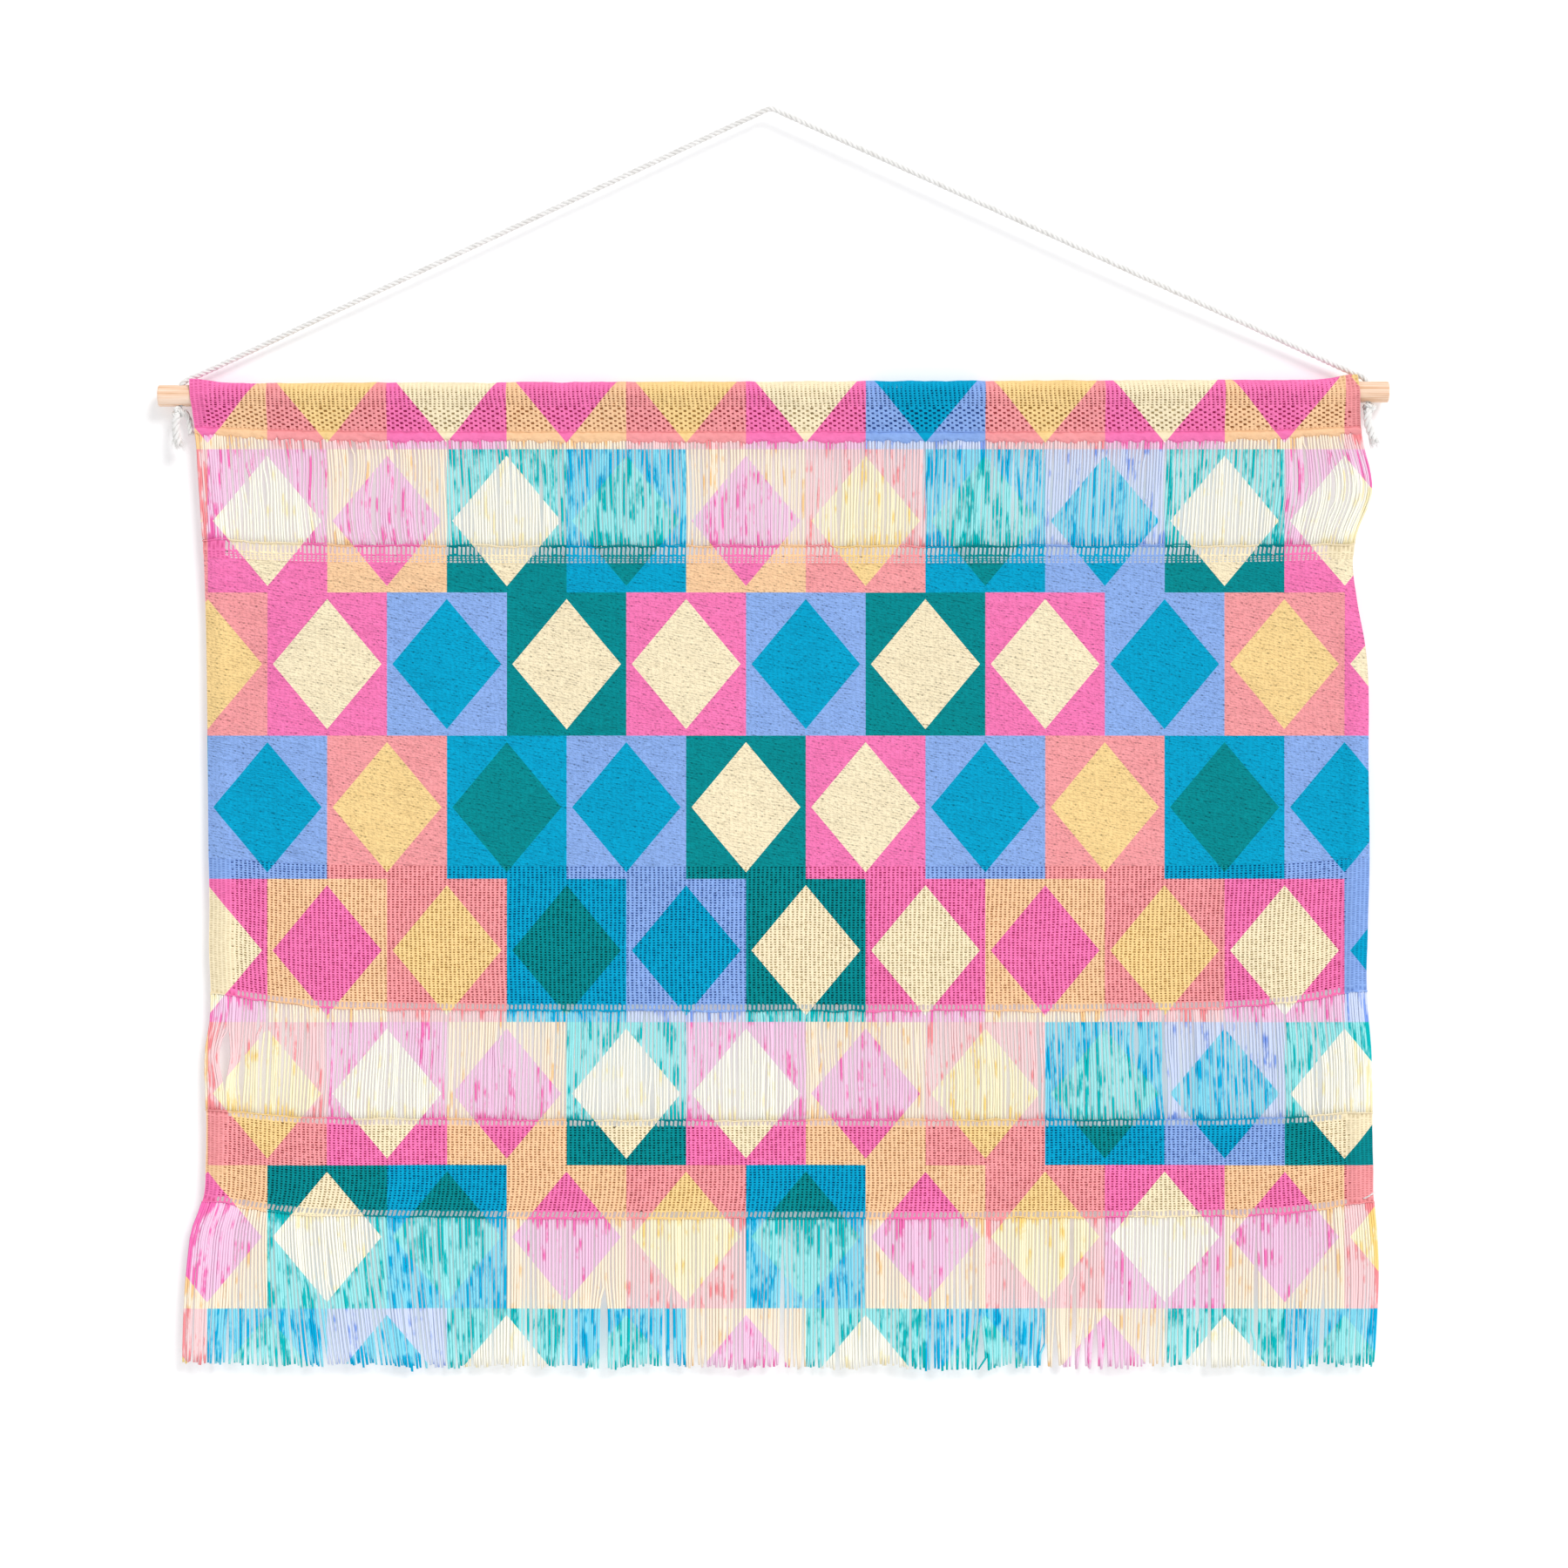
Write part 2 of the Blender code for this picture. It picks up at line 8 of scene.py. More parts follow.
import bpy
import numpy as np
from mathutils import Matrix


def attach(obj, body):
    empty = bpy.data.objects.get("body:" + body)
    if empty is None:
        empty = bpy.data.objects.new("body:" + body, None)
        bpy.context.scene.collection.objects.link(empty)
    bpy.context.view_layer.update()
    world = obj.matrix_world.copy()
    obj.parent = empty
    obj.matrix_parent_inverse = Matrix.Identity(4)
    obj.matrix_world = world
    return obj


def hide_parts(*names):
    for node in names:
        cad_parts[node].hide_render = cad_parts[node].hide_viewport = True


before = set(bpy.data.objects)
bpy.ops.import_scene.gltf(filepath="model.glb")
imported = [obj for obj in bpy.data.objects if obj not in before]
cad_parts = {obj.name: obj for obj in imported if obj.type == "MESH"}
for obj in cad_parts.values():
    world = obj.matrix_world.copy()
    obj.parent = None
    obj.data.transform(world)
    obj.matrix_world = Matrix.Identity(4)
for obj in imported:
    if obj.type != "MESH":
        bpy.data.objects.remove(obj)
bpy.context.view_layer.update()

SEED = 23
MM = 0.001

# sizes shared with the CAD solids
CLOTH_WIDTH = 1.035
CLIMB_REACH = 0.060
SELVAGE_RIDGE_PLACE = 0.013
SELVAGE_RIDGE_WIDTH = 0.008
SELVAGE_RIDGE_HEIGHT = 0.0024
EDGE_CURL = 0.0010
WAVE_DEPTH = 0.0016
WAVE_LENGTH = 0.29
WAVE_DRIFT = 3.1
WAVE_START_DROP = 0.30
WAVE_FULL_DROP = 0.45

DOWEL_LEFT_END = -0.5441
DOWEL_RIGHT_END = 0.5484
DOWEL_LEFT_DROP = 0.2525
DOWEL_RIGHT_DROP = 0.2490

POCKET_RADIUS = 0.0106
POCKET_PUFF = 0.0060
POCKET_PUFF_REACH = 0.022
POCKET_PUFF_ANGLE = math.radians(28.0)
POCKET_PUFF_SPREAD = math.radians(24.0)

# drop, half width at the left, half width at the right
OUTLINE = np.array((
    (0.2367, 0.5151, 0.5205), (0.2870, 0.5116, 0.5248), (0.3404, 0.5070, 0.5329), (0.3745, 0.5050, 0.5205),
    (0.4000, 0.5040, 0.5168), (0.4333, 0.5030, 0.5205), (0.4743, 0.5020, 0.5279), (0.5819, 0.5008, 0.5310),
    (0.6717, 0.5000, 0.5320), (0.7661, 0.4988, 0.5294), (0.7917, 0.4980, 0.5300), (0.8381, 0.5020, 0.5341),
    (0.9070, 0.5023, 0.5348), (0.9689, 0.5054, 0.5360), (0.9952, 0.5147, 0.5385), (1.0184, 0.5175, 0.5400),
    (1.1150, 0.5212, 0.5365),
))

# drop at the middle, climb at the left edge, climb at the right edge
SEAM = (0.2847, 0.0046, 0.0046)
HEADER_FOOT = (0.2932, 0.0070, 0.0070)
UPPER_THREAD = (0.3861, 0.0060, 0.0020)
WEAVE_TOP = (0.4015, 0.0054, 0.0039)
MESH_TOP = (0.6708, 0.0077, 0.0077)
PANEL_THREAD = (0.7994, 0.0155, 0.0186)
LOWER_THREAD = (0.8962, 0.0100, 0.0070)
FRINGE_THREAD = (0.9836, 0.0155, 0.0140)
FRINGE_END = (1.1152, 0.0060, 0.0020)

CORD_ROUTE = (
    (-0.5246, 0.0000, -0.2620), (-0.5246, 0.0000, -0.2550), (-0.5245, 0.0000, -0.2480),
    (-0.5239, 0.0003, -0.2437), (-0.5217, 0.0010, -0.2404), (-0.5185, 0.0022, -0.2382),
    (-0.5080, 0.0044, -0.2333), (-0.4800, 0.0044, -0.2203), (-0.4000, 0.0020, -0.1830),
    (-0.3000, 0.0000, -0.1364), (-0.2000, 0.0000, -0.0897), (-0.1000, 0.0000, -0.0431),
    (-0.0400, 0.0000, -0.0151), (-0.0100, 0.0000, -0.0012), (-0.0042, 0.0000, 0.0016),
    (0.0000, 0.0000, 0.0025), (0.0042, 0.0000, 0.0016), (0.0100, 0.0000, -0.0011),
    (0.0400, 0.0000, -0.0147), (0.1000, 0.0000, -0.0420), (0.2000, 0.0000, -0.0874),
    (0.3000, 0.0000, -0.1329), (0.4000, 0.0020, -0.1783), (0.4850, 0.0044, -0.2170),
    (0.5130, 0.0044, -0.2297), (0.5245, 0.0024, -0.2350), (0.5275, 0.0012, -0.2370),
    (0.5298, 0.0003, -0.2406), (0.5303, 0.0000, -0.2446), (0.5304, 0.0000, -0.2516),
    (0.5304, 0.0000, -0.2586),
)

# the photo's frame: metres to a pixel, its width, and its middle to the right of and below the hang point
PIXEL = 0.774 * MM
PHOTO_WIDTH = 1800
MIDDLE_RIGHT = 15
MIDDLE_BELOW = 771.8

# the cloth's own sizes
COLUMN_PITCH = 3.87 * MM
ROW_PITCH = 2.21 * MM
HOLE_WIDTH = 1.95 * MM
HOLE_HEIGHT = 1.16 * MM
STRANDS = 360
STRAND_RADIUS = 1.16 * MM
FRINGE_RADIUS = 1.30 * MM
FRINGE_LEFT_CROWD = 0.32
STRAND_SIDES = 6
STRAND_STEPS = 14
STRAND_EDGE_REACH = 0.020
STRAND_EDGE_CROWD = 0.6
STRAND_JITTER = 0.24
STRAND_PAIRING = 0.14
STRAND_PAIR_CHANCE = 0.78
EDGE_FLARE_REACH = 0.055

X_AXIS = np.array((1.0, 0.0, 0.0))
Y_AXIS = np.array((0.0, 1.0, 0.0))
Z_AXIS = np.array((0.0, 0.0, 1.0))
TURN = 2.0 * math.pi


def lerp(a, b, t):
    return a + (b - a) * t


def smoothstep(low, high, value):
    t = np.clip((value - low) / (high - low), 0.0, 1.0)
    return t * t * (3.0 - 2.0 * t)


def bump(value, middle, width):
    return np.exp(-((value - middle) / width) ** 2)


def hermite(t, here, there, leaving, arriving):
    """Cubic curve between two values, with the slopes that it has over the whole step."""
    start = (2 * t ** 3 - 3 * t ** 2 + 1) * here + (t ** 3 - 2 * t ** 2 + t) * leaving
    end = (3 * t ** 2 - 2 * t ** 3) * there + (t ** 3 - t ** 2) * arriving
    return start + end


def half_width(column, drop):
    """Cubic curve through a column of the outline, held level past both ends."""
    places, values = OUTLINE[:, 0], OUTLINE[:, column]
    slopes = np.gradient(values, places)
    drop = np.clip(drop, places[0], places[-1])
    i = np.clip(np.searchsorted(places, drop, side="right") - 1, 0, len(places) - 2)
    span = places[i + 1] - places[i]
    slopes = (span * slopes[i], span * slopes[i + 1])
    return hermite((drop - places[i]) / span, values[i], values[i + 1], *slopes)


def across(u, drop):
    """Place sideways of a share u of the cloth's width."""
    return lerp(-half_width(1, drop), half_width(2, drop), u)


def edge_distance(u):
    return np.minimum(u, 1.0 - u) * CLOTH_WIDTH


def line_drop(line, u):
    """Drop of a seam or thread, which climbs towards both selvages."""
    from_left = u * CLOTH_WIDTH / CLIMB_REACH
    from_right = (1.0 - u) * CLOTH_WIDTH / CLIMB_REACH
    return line[0] - line[1] / (1.0 + from_left ** 2) - line[2] / (1.0 + from_right ** 2)


def cloth_depth(u, drop):
    """Depth of the hanging cloth: soft waves, a ridge along each selvage and its curled edge."""
    ridge = bump(edge_distance(u), SELVAGE_RIDGE_PLACE, SELVAGE_RIDGE_WIDTH)
    curl = np.exp(-np.maximum(edge_distance(u), 0.0) / SELVAGE_RIDGE_WIDTH)
    turn = TURN * u * CLOTH_WIDTH / WAVE_LENGTH
    wave = np.sin(turn + WAVE_DRIFT * drop) + 0.5 * np.sin(1.7 * turn - 2.0 * WAVE_DRIFT * drop)
    grown = smoothstep(WAVE_START_DROP, WAVE_FULL_DROP, drop)
    return grown * (WAVE_DEPTH * wave - SELVAGE_RIDGE_HEIGHT * ridge + EDGE_CURL * curl)


def dowel_drop(x):
    return lerp(DOWEL_LEFT_DROP, DOWEL_RIGHT_DROP, (x - DOWEL_LEFT_END) / (DOWEL_RIGHT_END - DOWEL_LEFT_END))


def value_noise(x, z, layer):
    """Smooth noise from -1 to 1 on a lattice of step 1, another one for each layer."""
    lattice = np.random.default_rng(SEED + layer).uniform(-1.0, 1.0, (64, 64))
    i = np.floor(x).astype(int)
    j = np.floor(z).astype(int)
    a = smoothstep(0.0, 1.0, x - i)
    b = smoothstep(0.0, 1.0, z - j)
    corner = [lattice[(i + p) % 64, (j + q) % 64] for p, q in ((0, 0), (1, 0), (0, 1), (1, 1))]
    return lerp(lerp(corner[0], corner[1], a), lerp(corner[2], corner[3], a), b)


def srgb(red, green, blue):
    """Linear colour of an 8-bit screen colour."""
    out = []
    for value in (red, green, blue):
        value /= 255.0
        out.append(value / 12.92 if value <= 0.04045 else ((value + 0.055) / 1.055) ** 2.4)
    return (*out, 1.0)


def grey(value):
    return (value, value, value, 1.0)


class Nodes:
    """A material's node tree, filled by short calls."""

    def __init__(self, name):
        self.material = bpy.data.materials.new(name)
        self.material.use_nodes = True
        self.tree = self.material.node_tree
        self.shader = self.tree.nodes["Principled BSDF"]

    def link(self, value, socket):
        if isinstance(value, bpy.types.NodeSocket):
            self.tree.links.new(value, socket)
        else:
            socket.default_value = value

    def fill(self, node, inputs):
        for key, value in inputs.items():
            self.link(value, node.inputs[key])

    def add(self, kind, inputs=(), **settings):
        """Outputs of a new node. inputs are its values by place or name."""
        node = self.tree.nodes.new("ShaderNode" + kind)
        for key, value in settings.items():
            setattr(node, key, value)
        self.fill(node, dict(inputs))
        return node.outputs

    def math(self, operation, *values, clamp=False):
        return self.add("Math", enumerate(values), operation=operation, use_clamp=clamp)[0]

    def times(self, first, second):
        return self.math("MULTIPLY", first, second)

    def linear(self, value, gain, level, clamp=False):
        return self.math("MULTIPLY_ADD", value, gain, level, clamp=clamp)

    def from_middle(self, value):
        """Distance from the middle of a cell, with its sign."""
        return self.math("SUBTRACT", self.math("FRACT", value), 0.5)

    def vector(self, x, y, z):
        return self.add("CombineXYZ", {"X": x, "Y": y, "Z": z})[0]

    def object_axes(self):
        return self.add("SeparateXYZ", {0: self.add("TexCoord")["Object"]})

    def attribute(self, name):
        return self.add("Attribute", attribute_name=name)["Fac"]

    def chance(self, column, row):
        """Random number of a cell."""
        inputs = {"Vector": self.vector(column, row, 0.0)}
        return self.add("TexWhiteNoise", inputs, noise_dimensions="2D")["Value"]

    def noise(self, vector, scale, detail=2.0, roughness=0.5):
        inputs = {"Vector": vector, "Scale": scale, "Detail": detail, "Roughness": roughness}
        return self.add("TexNoise", inputs)["Fac"]

    def stretched(self, x, z, per_x, per_z, layer):
        """Coordinates for a pattern of per_x repeats a metre sideways and per_z a metre downwards."""
        return self.vector(self.times(x, per_x), layer, self.times(z, per_z))

    def grain(self, x, z, pattern, detail=1.0, roughness=0.5):
        return self.noise(self.stretched(x, z, *pattern), 1.0, detail, roughness)

    def ramp(self, value, stops, interpolation="LINEAR"):
        node = self.tree.nodes.new("ShaderNodeValToRGB")
        node.color_ramp.interpolation = interpolation
        elements = node.color_ramp.elements
        while len(elements) < len(stops):
            elements.new(0.5)
        for element, (place, colour) in zip(elements, stops):
            element.position = place
            element.color = colour
        self.link(value, node.inputs[0])
        return node.outputs["Color"]

    def step(self, value, first, last):
        """Grey ramp between two stops of (place, value)."""
        return self.ramp(value, [(place, grey(level)) for place, level in (first, last)])

    def mix(self, amount, first, second, blend="MIX"):
        inputs = {0: amount, 6: first, 7: second}
        return self.add("Mix", inputs, data_type="RGBA", blend_type=blend)[2]

    def shaded(self, colour, shade):
        return self.mix(1.0, colour, self.vector(shade, shade, shade), "MULTIPLY")

    def bump(self, height, strength, distance):
        return self.add("Bump", {"Height": height, "Strength": strength, "Distance": distance})["Normal"]

    def finish(self, colour, roughness, normal, sheen=0.0, specular=0.12):
        self.fill(self.shader, {"Base Color": colour, "Roughness": roughness, "Specular IOR Level": specular,
                                "Normal": normal, "Sheen Weight": sheen, "Sheen Roughness": 0.6})
        return self.material


# each ink on cloth, on bare strings where it took well and where it took little, and how much took well
ON_CLOTH, STREAK, TINT, TAKE = range(4)
TEAL = (srgb(0, 138, 145), srgb(0, 188, 192), srgb(158, 234, 236), grey(1.0))
TURQUOISE = (srgb(0, 162, 205), srgb(0, 176, 222), srgb(136, 220, 240), grey(1.0))
PERIWINKLE = (srgb(140, 174, 234), srgb(130, 164, 240), srgb(212, 224, 250), grey(0.0))
PINK = (srgb(246, 122, 182), srgb(248, 118, 188), srgb(248, 206, 234), grey(0.25))
CORAL = (srgb(245, 158, 162), srgb(252, 150, 156), srgb(252, 216, 218), grey(0.15))
PEACH = (srgb(248, 204, 160), srgb(254, 210, 152), srgb(255, 240, 218), grey(0.0))
CREAM = (srgb(248, 233, 198), srgb(255, 242, 196), srgb(255, 253, 240), grey(0.0))
YELLOW = (srgb(247, 213, 148), srgb(255, 222, 138), srgb(255, 246, 212), grey(0.2))

GROUNDS = (TEAL, PINK, PERIWINKLE, CORAL, TURQUOISE, PEACH)
DIAMONDS = (CREAM, CREAM, TURQUOISE, YELLOW, TEAL, PINK)
PAIRS = len(GROUNDS)
BLOCK_WIDTH = 0.1063
BLOCK_HEIGHT = 0.1272
BLOCK_SHIFT_X = 0.031
BLOCK_SHIFT_Z = 0.3000
DIAMOND_SHARE = 0.455


def printed_colours(nodes, x, z, aspects):
    """Plain diamonds on brick-laid coloured blocks, once for each aspect of the inks."""
    v = nodes.linear(z, -1.0 / BLOCK_HEIGHT, -BLOCK_SHIFT_Z / BLOCK_HEIGHT)
    row = nodes.math("FLOOR", v)
    shift = nodes.linear(nodes.math("FLOORED_MODULO", row, 2.0), 0.5, -BLOCK_SHIFT_X / BLOCK_WIDTH)
    u = nodes.linear(x, 1.0 / BLOCK_WIDTH, shift)
    column = nodes.math("FLOOR", u)
    off_u, off_v = (nodes.math("ABSOLUTE", nodes.from_middle(value)) for value in (u, v))
    inside = nodes.math("LESS_THAN", nodes.math("ADD", off_u, off_v), DIAMOND_SHARE)
    leap = nodes.math("ROUND", nodes.chance(column, row))
    step = nodes.linear(leap, PAIRS / 2.0, nodes.linear(row, 2.0, column))
    pair = nodes.linear(nodes.math("FLOORED_MODULO", step, float(PAIRS)), 1.0 / PAIRS, 0.5 / PAIRS)
    colours = []
    for aspect in aspects:
        fills = [[(k / PAIRS, ink[aspect]) for k, ink in enumerate(inks)] for inks in (GROUNDS, DIAMONDS)]
        colours.append(nodes.mix(inside, *(nodes.ramp(pair, fill, "CONSTANT") for fill in fills)))
    return colours


# patterns of the cloth: repeats a metre sideways, repeats a metre downwards, layer
FIBRE = (300.0, 620.0, 0.0)
RIPPLE = (190.0, 640.0, 1.0)
DASH = (250.0, 600.0, 2.0)
PULL = (40.0, 90.0, 9.0)
WANDER = (48.0, 230.0, 5.0)
CREASED = (17.0, 42.0, 7.0)
PINHOLE = (62.0, 105.0, 0.0)
PATCH_SCALE = 18.0
ROW_SLOPE = 0.20
PIN_WIDTH = 0.34
PIN_HEIGHT = 0.20
# patterns of the strings, in the same order
CLOUD = (60.0, 26.0, 4.0)
SPECKLE = (700.0, 240.0, 6.0)
YARN = (1500.0, 700.0, 0.0)
# repeats of the streaks: over the strings' own numbers, a metre downwards, a metre sideways
STREAK_SCALES = (97.0, 30.0, 9.0)
# repeats of the wood's grain a metre, along the rod and across it both ways
GRAIN = (9.0, 420.0, 420.0)
FINE_GRAIN = (60.0, 1500.0, 1500.0)


def pin_dots(nodes, cell_x, cell_z):
    """Small dashes in the middle of the weave's cells, each cell's of its own strength: dents in the relief,
    also painted dark as shade.
    """
    chance = nodes.chance(nodes.math("FLOOR", cell_x), nodes.math("FLOOR", cell_z))
    strength = nodes.linear(chance, 1.45, -0.45, clamp=True)
    from_side = nodes.times(nodes.from_middle(cell_x), 1.0 / PIN_WIDTH)
    from_row = nodes.times(nodes.from_middle(cell_z), 1.0 / PIN_HEIGHT)
    distance = nodes.linear(from_side, from_side, nodes.times(from_row, from_row))
    return nodes.times(nodes.math("SUBTRACT", 1.0, distance, clamp=True), strength)


def dense_relief(nodes, x, z):
    """Creases, dimples, dashes, ripples and pinholes of the closed weave, whose rows slope: its relief, and
    masks of painted shade and light; the pinholes are painted shade only.
    """
    run = nodes.linear(x, ROW_SLOPE, z)
    ripple = nodes.grain(x, run, RIPPLE)
    dash = nodes.step(nodes.grain(x, run, DASH), (0.30, 1.0), (0.45, 0.0))
    pull = nodes.grain(x, z, PULL)
    cell_x = nodes.linear(x, 1.0 / COLUMN_PITCH, nodes.times(pull, 1.2))
    cell_z = nodes.linear(run, 1.0 / ROW_PITCH, nodes.times(pull, 2.4))
    across_cell, down_cell = (nodes.math("PINGPONG", cell, 0.5) for cell in (cell_x, cell_z))
    dimple = nodes.linear(nodes.math("ADD", across_cell, down_cell), -2.2, 1.0, clamp=True)
    pin = pin_dots(nodes, cell_x, nodes.times(cell_z, 0.5))
    wander = nodes.math("SUBTRACT", nodes.grain(x, run, WANDER, 1.5), 0.5)
    line = nodes.step(nodes.math("ABSOLUTE", wander), (0.0, 1.0), (0.03, 0.0))
    here = nodes.step(nodes.grain(x, z, CREASED, 2.0), (0.40, 0.10), (0.62, 1.0))
    leftward = nodes.linear(x, -0.50, 0.60, clamp=True)
    crease = nodes.math("MAXIMUM", dash, nodes.times(line, nodes.times(here, leftward)))
    dots = nodes.add("TexVoronoi", {"Vector": nodes.stretched(x, z, *PINHOLE), "Scale": 1.0})
    pinhole_shade = nodes.step(dots["Distance"], (0.045, 1.0), (0.085, 0.0))
    return crease, dimple, pin, ripple, pinhole_shade


def cloth_material(name, closed):
    """Printed cotton weave: fine weft ridges, mottled ink, painted shade down in the holes and painted light
    on the raised threads.

    A closed weave also has short wandering creases, dents, dashes and a few pinholes, with painted shade in
    them and painted light on its weft ripples.
    """
    nodes = Nodes(name)
    x, _, z = nodes.object_axes()
    colour, = printed_colours(nodes, x, z, [ON_CLOTH])
    fibre = nodes.grain(x, z, FIBRE, 3.0, 0.6)
    patch = nodes.noise(nodes.vector(x, 0.0, z), PATCH_SCALE)
    # painted light and shade kept on the sheet's points
    painted_relief_shade = nodes.attribute("own")
    # parts of the shade, the ink's mottling and then painted light and shade: value, gain, level
    shades = [(patch, 0.10, 0.95), (painted_relief_shade, 0.62, 0.38)]
    height = fibre
    if closed:
        crease, dimple, pin, ripple, pinhole_shade = dense_relief(nodes, x, z)
        # painted shade in the creases, dimples, dashes and pinholes, and painted light on the ripples
        shades += [(crease, -0.14, 1.0), (dimple, -0.12, 1.02), (pin, -0.55, 1.02), (ripple, 0.22, 0.90),
                   (pinhole_shade, -0.35, 1.0)]
        for value, gain in ((ripple, 1.6), (crease, -0.9), (nodes.math("ADD", dimple, pin), -0.8)):
            height = nodes.linear(value, gain, height)
    shade = nodes.linear(fibre, 0.24, 0.88)
    for value, gain, level in shades:
        shade = nodes.times(shade, nodes.linear(value, gain, level))
    # painted shade in the holes, deepened towards the cloth's own colour squared
    colour = nodes.mix(1.0, colour, nodes.mix(painted_relief_shade, colour, grey(1.0)), "MULTIPLY")
    return nodes.finish(nodes.shaded(colour, shade), 0.92, nodes.bump(height, 0.8, 0.7 * MM))


def string_material():
    """Cotton string that took the print unevenly: pale tint, and streaks of full colour."""
    nodes = Nodes("printed_string")
    x, _, z = nodes.object_axes()
    full, pale, take = printed_colours(nodes, x, z, [STREAK, TINT, TAKE])
    place = nodes.vector(*map(nodes.times, (nodes.attribute("own"), z, x), STREAK_SCALES))
    streak = nodes.times(nodes.noise(place, 1.0, 2.0, 0.6), 0.74)
    for value, gain in ((nodes.grain(x, z, CLOUD, 2.0), 0.14), (nodes.grain(x, z, SPECKLE), 0.12),
                        (take, 0.068), (nodes.attribute("near_thread"), 0.10)):
        streak = nodes.linear(value, gain, streak)
    colour = nodes.mix(nodes.step(streak, (0.56, 0.0), (0.64, 1.0)), pale, full)
    # painted shade at the strings' sides and backs, strongest on pale strings
    painted_side_shade = nodes.times(nodes.attribute("side"), nodes.linear(take, -0.20, 0.24))
    shade = nodes.math("SUBTRACT", 1.0, painted_side_shade)
    fibre = nodes.grain(x, z, YARN, 2.0)
    return nodes.finish(nodes.shaded(colour, shade), 0.95, nodes.bump(fibre, 0.4, 0.4 * MM))


def rope_material():
    nodes = Nodes("white_cotton")
    place = nodes.vector(*nodes.object_axes())
    shades = [(0.3, (0.80, 0.79, 0.77, 1.0)), (0.7, (0.92, 0.915, 0.905, 1.0))]
    colour = nodes.ramp(nodes.noise(place, 160.0), shades)
    return nodes.finish(colour, 0.9, nodes.bump(nodes.noise(place, 1400.0), 0.5, 0.4 * MM), sheen=0.1)


def wood_material():
    """Pale turned hardwood, its grain along the rod."""
    nodes = Nodes("pale_wood")
    x, y, z = nodes.object_axes()
    coarse, fine = (nodes.vector(*map(nodes.times, (x, y, z), scales)) for scales in (GRAIN, FINE_GRAIN))
    grain = nodes.noise(coarse, 1.0, 4.0, 0.6)
    colour = nodes.ramp(grain, [(0.32, srgb(218, 164, 120)), (0.47, srgb(245, 209, 180)),
                                (0.70, srgb(252, 230, 212))])
    colour = nodes.shaded(colour, nodes.linear(nodes.noise(fine, 1.0), 0.14, 0.93))
    normal = nodes.bump(grain, 0.25, 0.4 * MM)
    return nodes.finish(colour, nodes.linear(grain, 0.2, 0.42), normal, specular=0.3)


def linked(name, data):
    thing = bpy.data.objects.new(name, data)
    bpy.context.scene.collection.objects.link(thing)
    return thing


def piece(name, cad_node, slot, material, verts, faces, **values):
    """Object that dresses a CAD node. Each further value is kept as an attribute of its points."""
    mesh = bpy.data.meshes.new(name)
    mesh.from_pydata(np.asarray(verts).reshape(-1, 3), [], faces)
    mesh.shade_smooth()
    mesh.materials.append(material)
    for key, value in values.items():
        layer = mesh.attributes.new(key, "FLOAT", "POINT")
        layer.data.foreach_set("value", np.asarray(value, dtype=np.float32).ravel())
    mesh.update()
    thing = linked(name, mesh)
    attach(thing, "root")
    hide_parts(cad_node)
    return thing


def tube_parts(paths, radii, sides, first_axis, second_axis):
    """Corners and faces of round tubes along many paths at once, closed at both ends."""
    count, steps = paths.shape[:2]
    turn = TURN * np.arange(sides)[:, None] / sides
    ring = np.cos(turn) * first_axis[..., None, :] + np.sin(turn) * second_axis[..., None, :]
    verts = paths[:, :, None, :] + radii[:, :, None, None] * ring
    index = np.arange(count * steps * sides).reshape(count, steps, sides)
    ahead = np.roll(index, -1, axis=2)
    quads = np.stack([index[:, :-1], ahead[:, :-1], ahead[:, 1:], index[:, 1:]], axis=-1).reshape(-1, 4)
    caps = index[:, 0, ::-1].tolist() + index[:, -1].tolist()
    return verts.reshape(-1, 3), quads.tolist() + caps


def joined(parts):
    verts, faces, base = [], [], 0
    for part, part_faces in parts:
        verts.append(part)
        faces += [[i + base for i in face] for face in part_faces]
        base += len(part)
    return np.vstack(verts), faces


def grid_faces(index):
    quads = np.stack([index[:-1, :-1], index[1:, :-1], index[1:, 1:], index[:-1, 1:]], axis=-1)
    return quads.reshape(-1, 4).tolist()


def frames_along(points):
    """Two axes across a path at each point, turning as little as they can."""
    ahead = np.gradient(points, axis=0)
    ahead /= np.linalg.norm(ahead, axis=1)[:, None]
    first = np.zeros_like(points)
    start = np.cross(ahead[0], (0.0, 1.0, 0.0))
    if np.linalg.norm(start) < 0.1:
        start = np.cross(ahead[0], (1.0, 0.0, 0.0))
    first[0] = start / np.linalg.norm(start)
    for i in range(1, len(points)):
        side = first[i - 1] - ahead[i] * np.dot(first[i - 1], ahead[i])
        first[i] = side / np.linalg.norm(side)
    return first, np.cross(ahead, first)


def smooth_route(route, step):
    """Points along a smooth curve through the route, the route's own points among them."""
    points = np.array(route, dtype=float)
    points = np.vstack([2 * points[0] - points[1], points, 2 * points[-1] - points[-2]])
    result = [points[1]]
    for p0, p1, p2, p3 in zip(points, points[1:], points[2:], points[3:]):
        before, length, after = (np.linalg.norm(b - a) for a, b in ((p0, p1), (p1, p2), (p2, p3)))
        leaving = ((p1 - p0) / before + (p2 - p1) / length) * 0.5 * length
        arriving = ((p2 - p1) / length + (p3 - p2) / after) * 0.5 * length
        count = max(1, round(length / step))
        result += [hermite(k / count, p1, p2, leaving, arriving) for k in range(1, count + 1)]
    return np.array(result)


def along(points):
    return np.concatenate([[0.0], np.cumsum(np.linalg.norm(np.diff(points, axis=0), axis=1))])


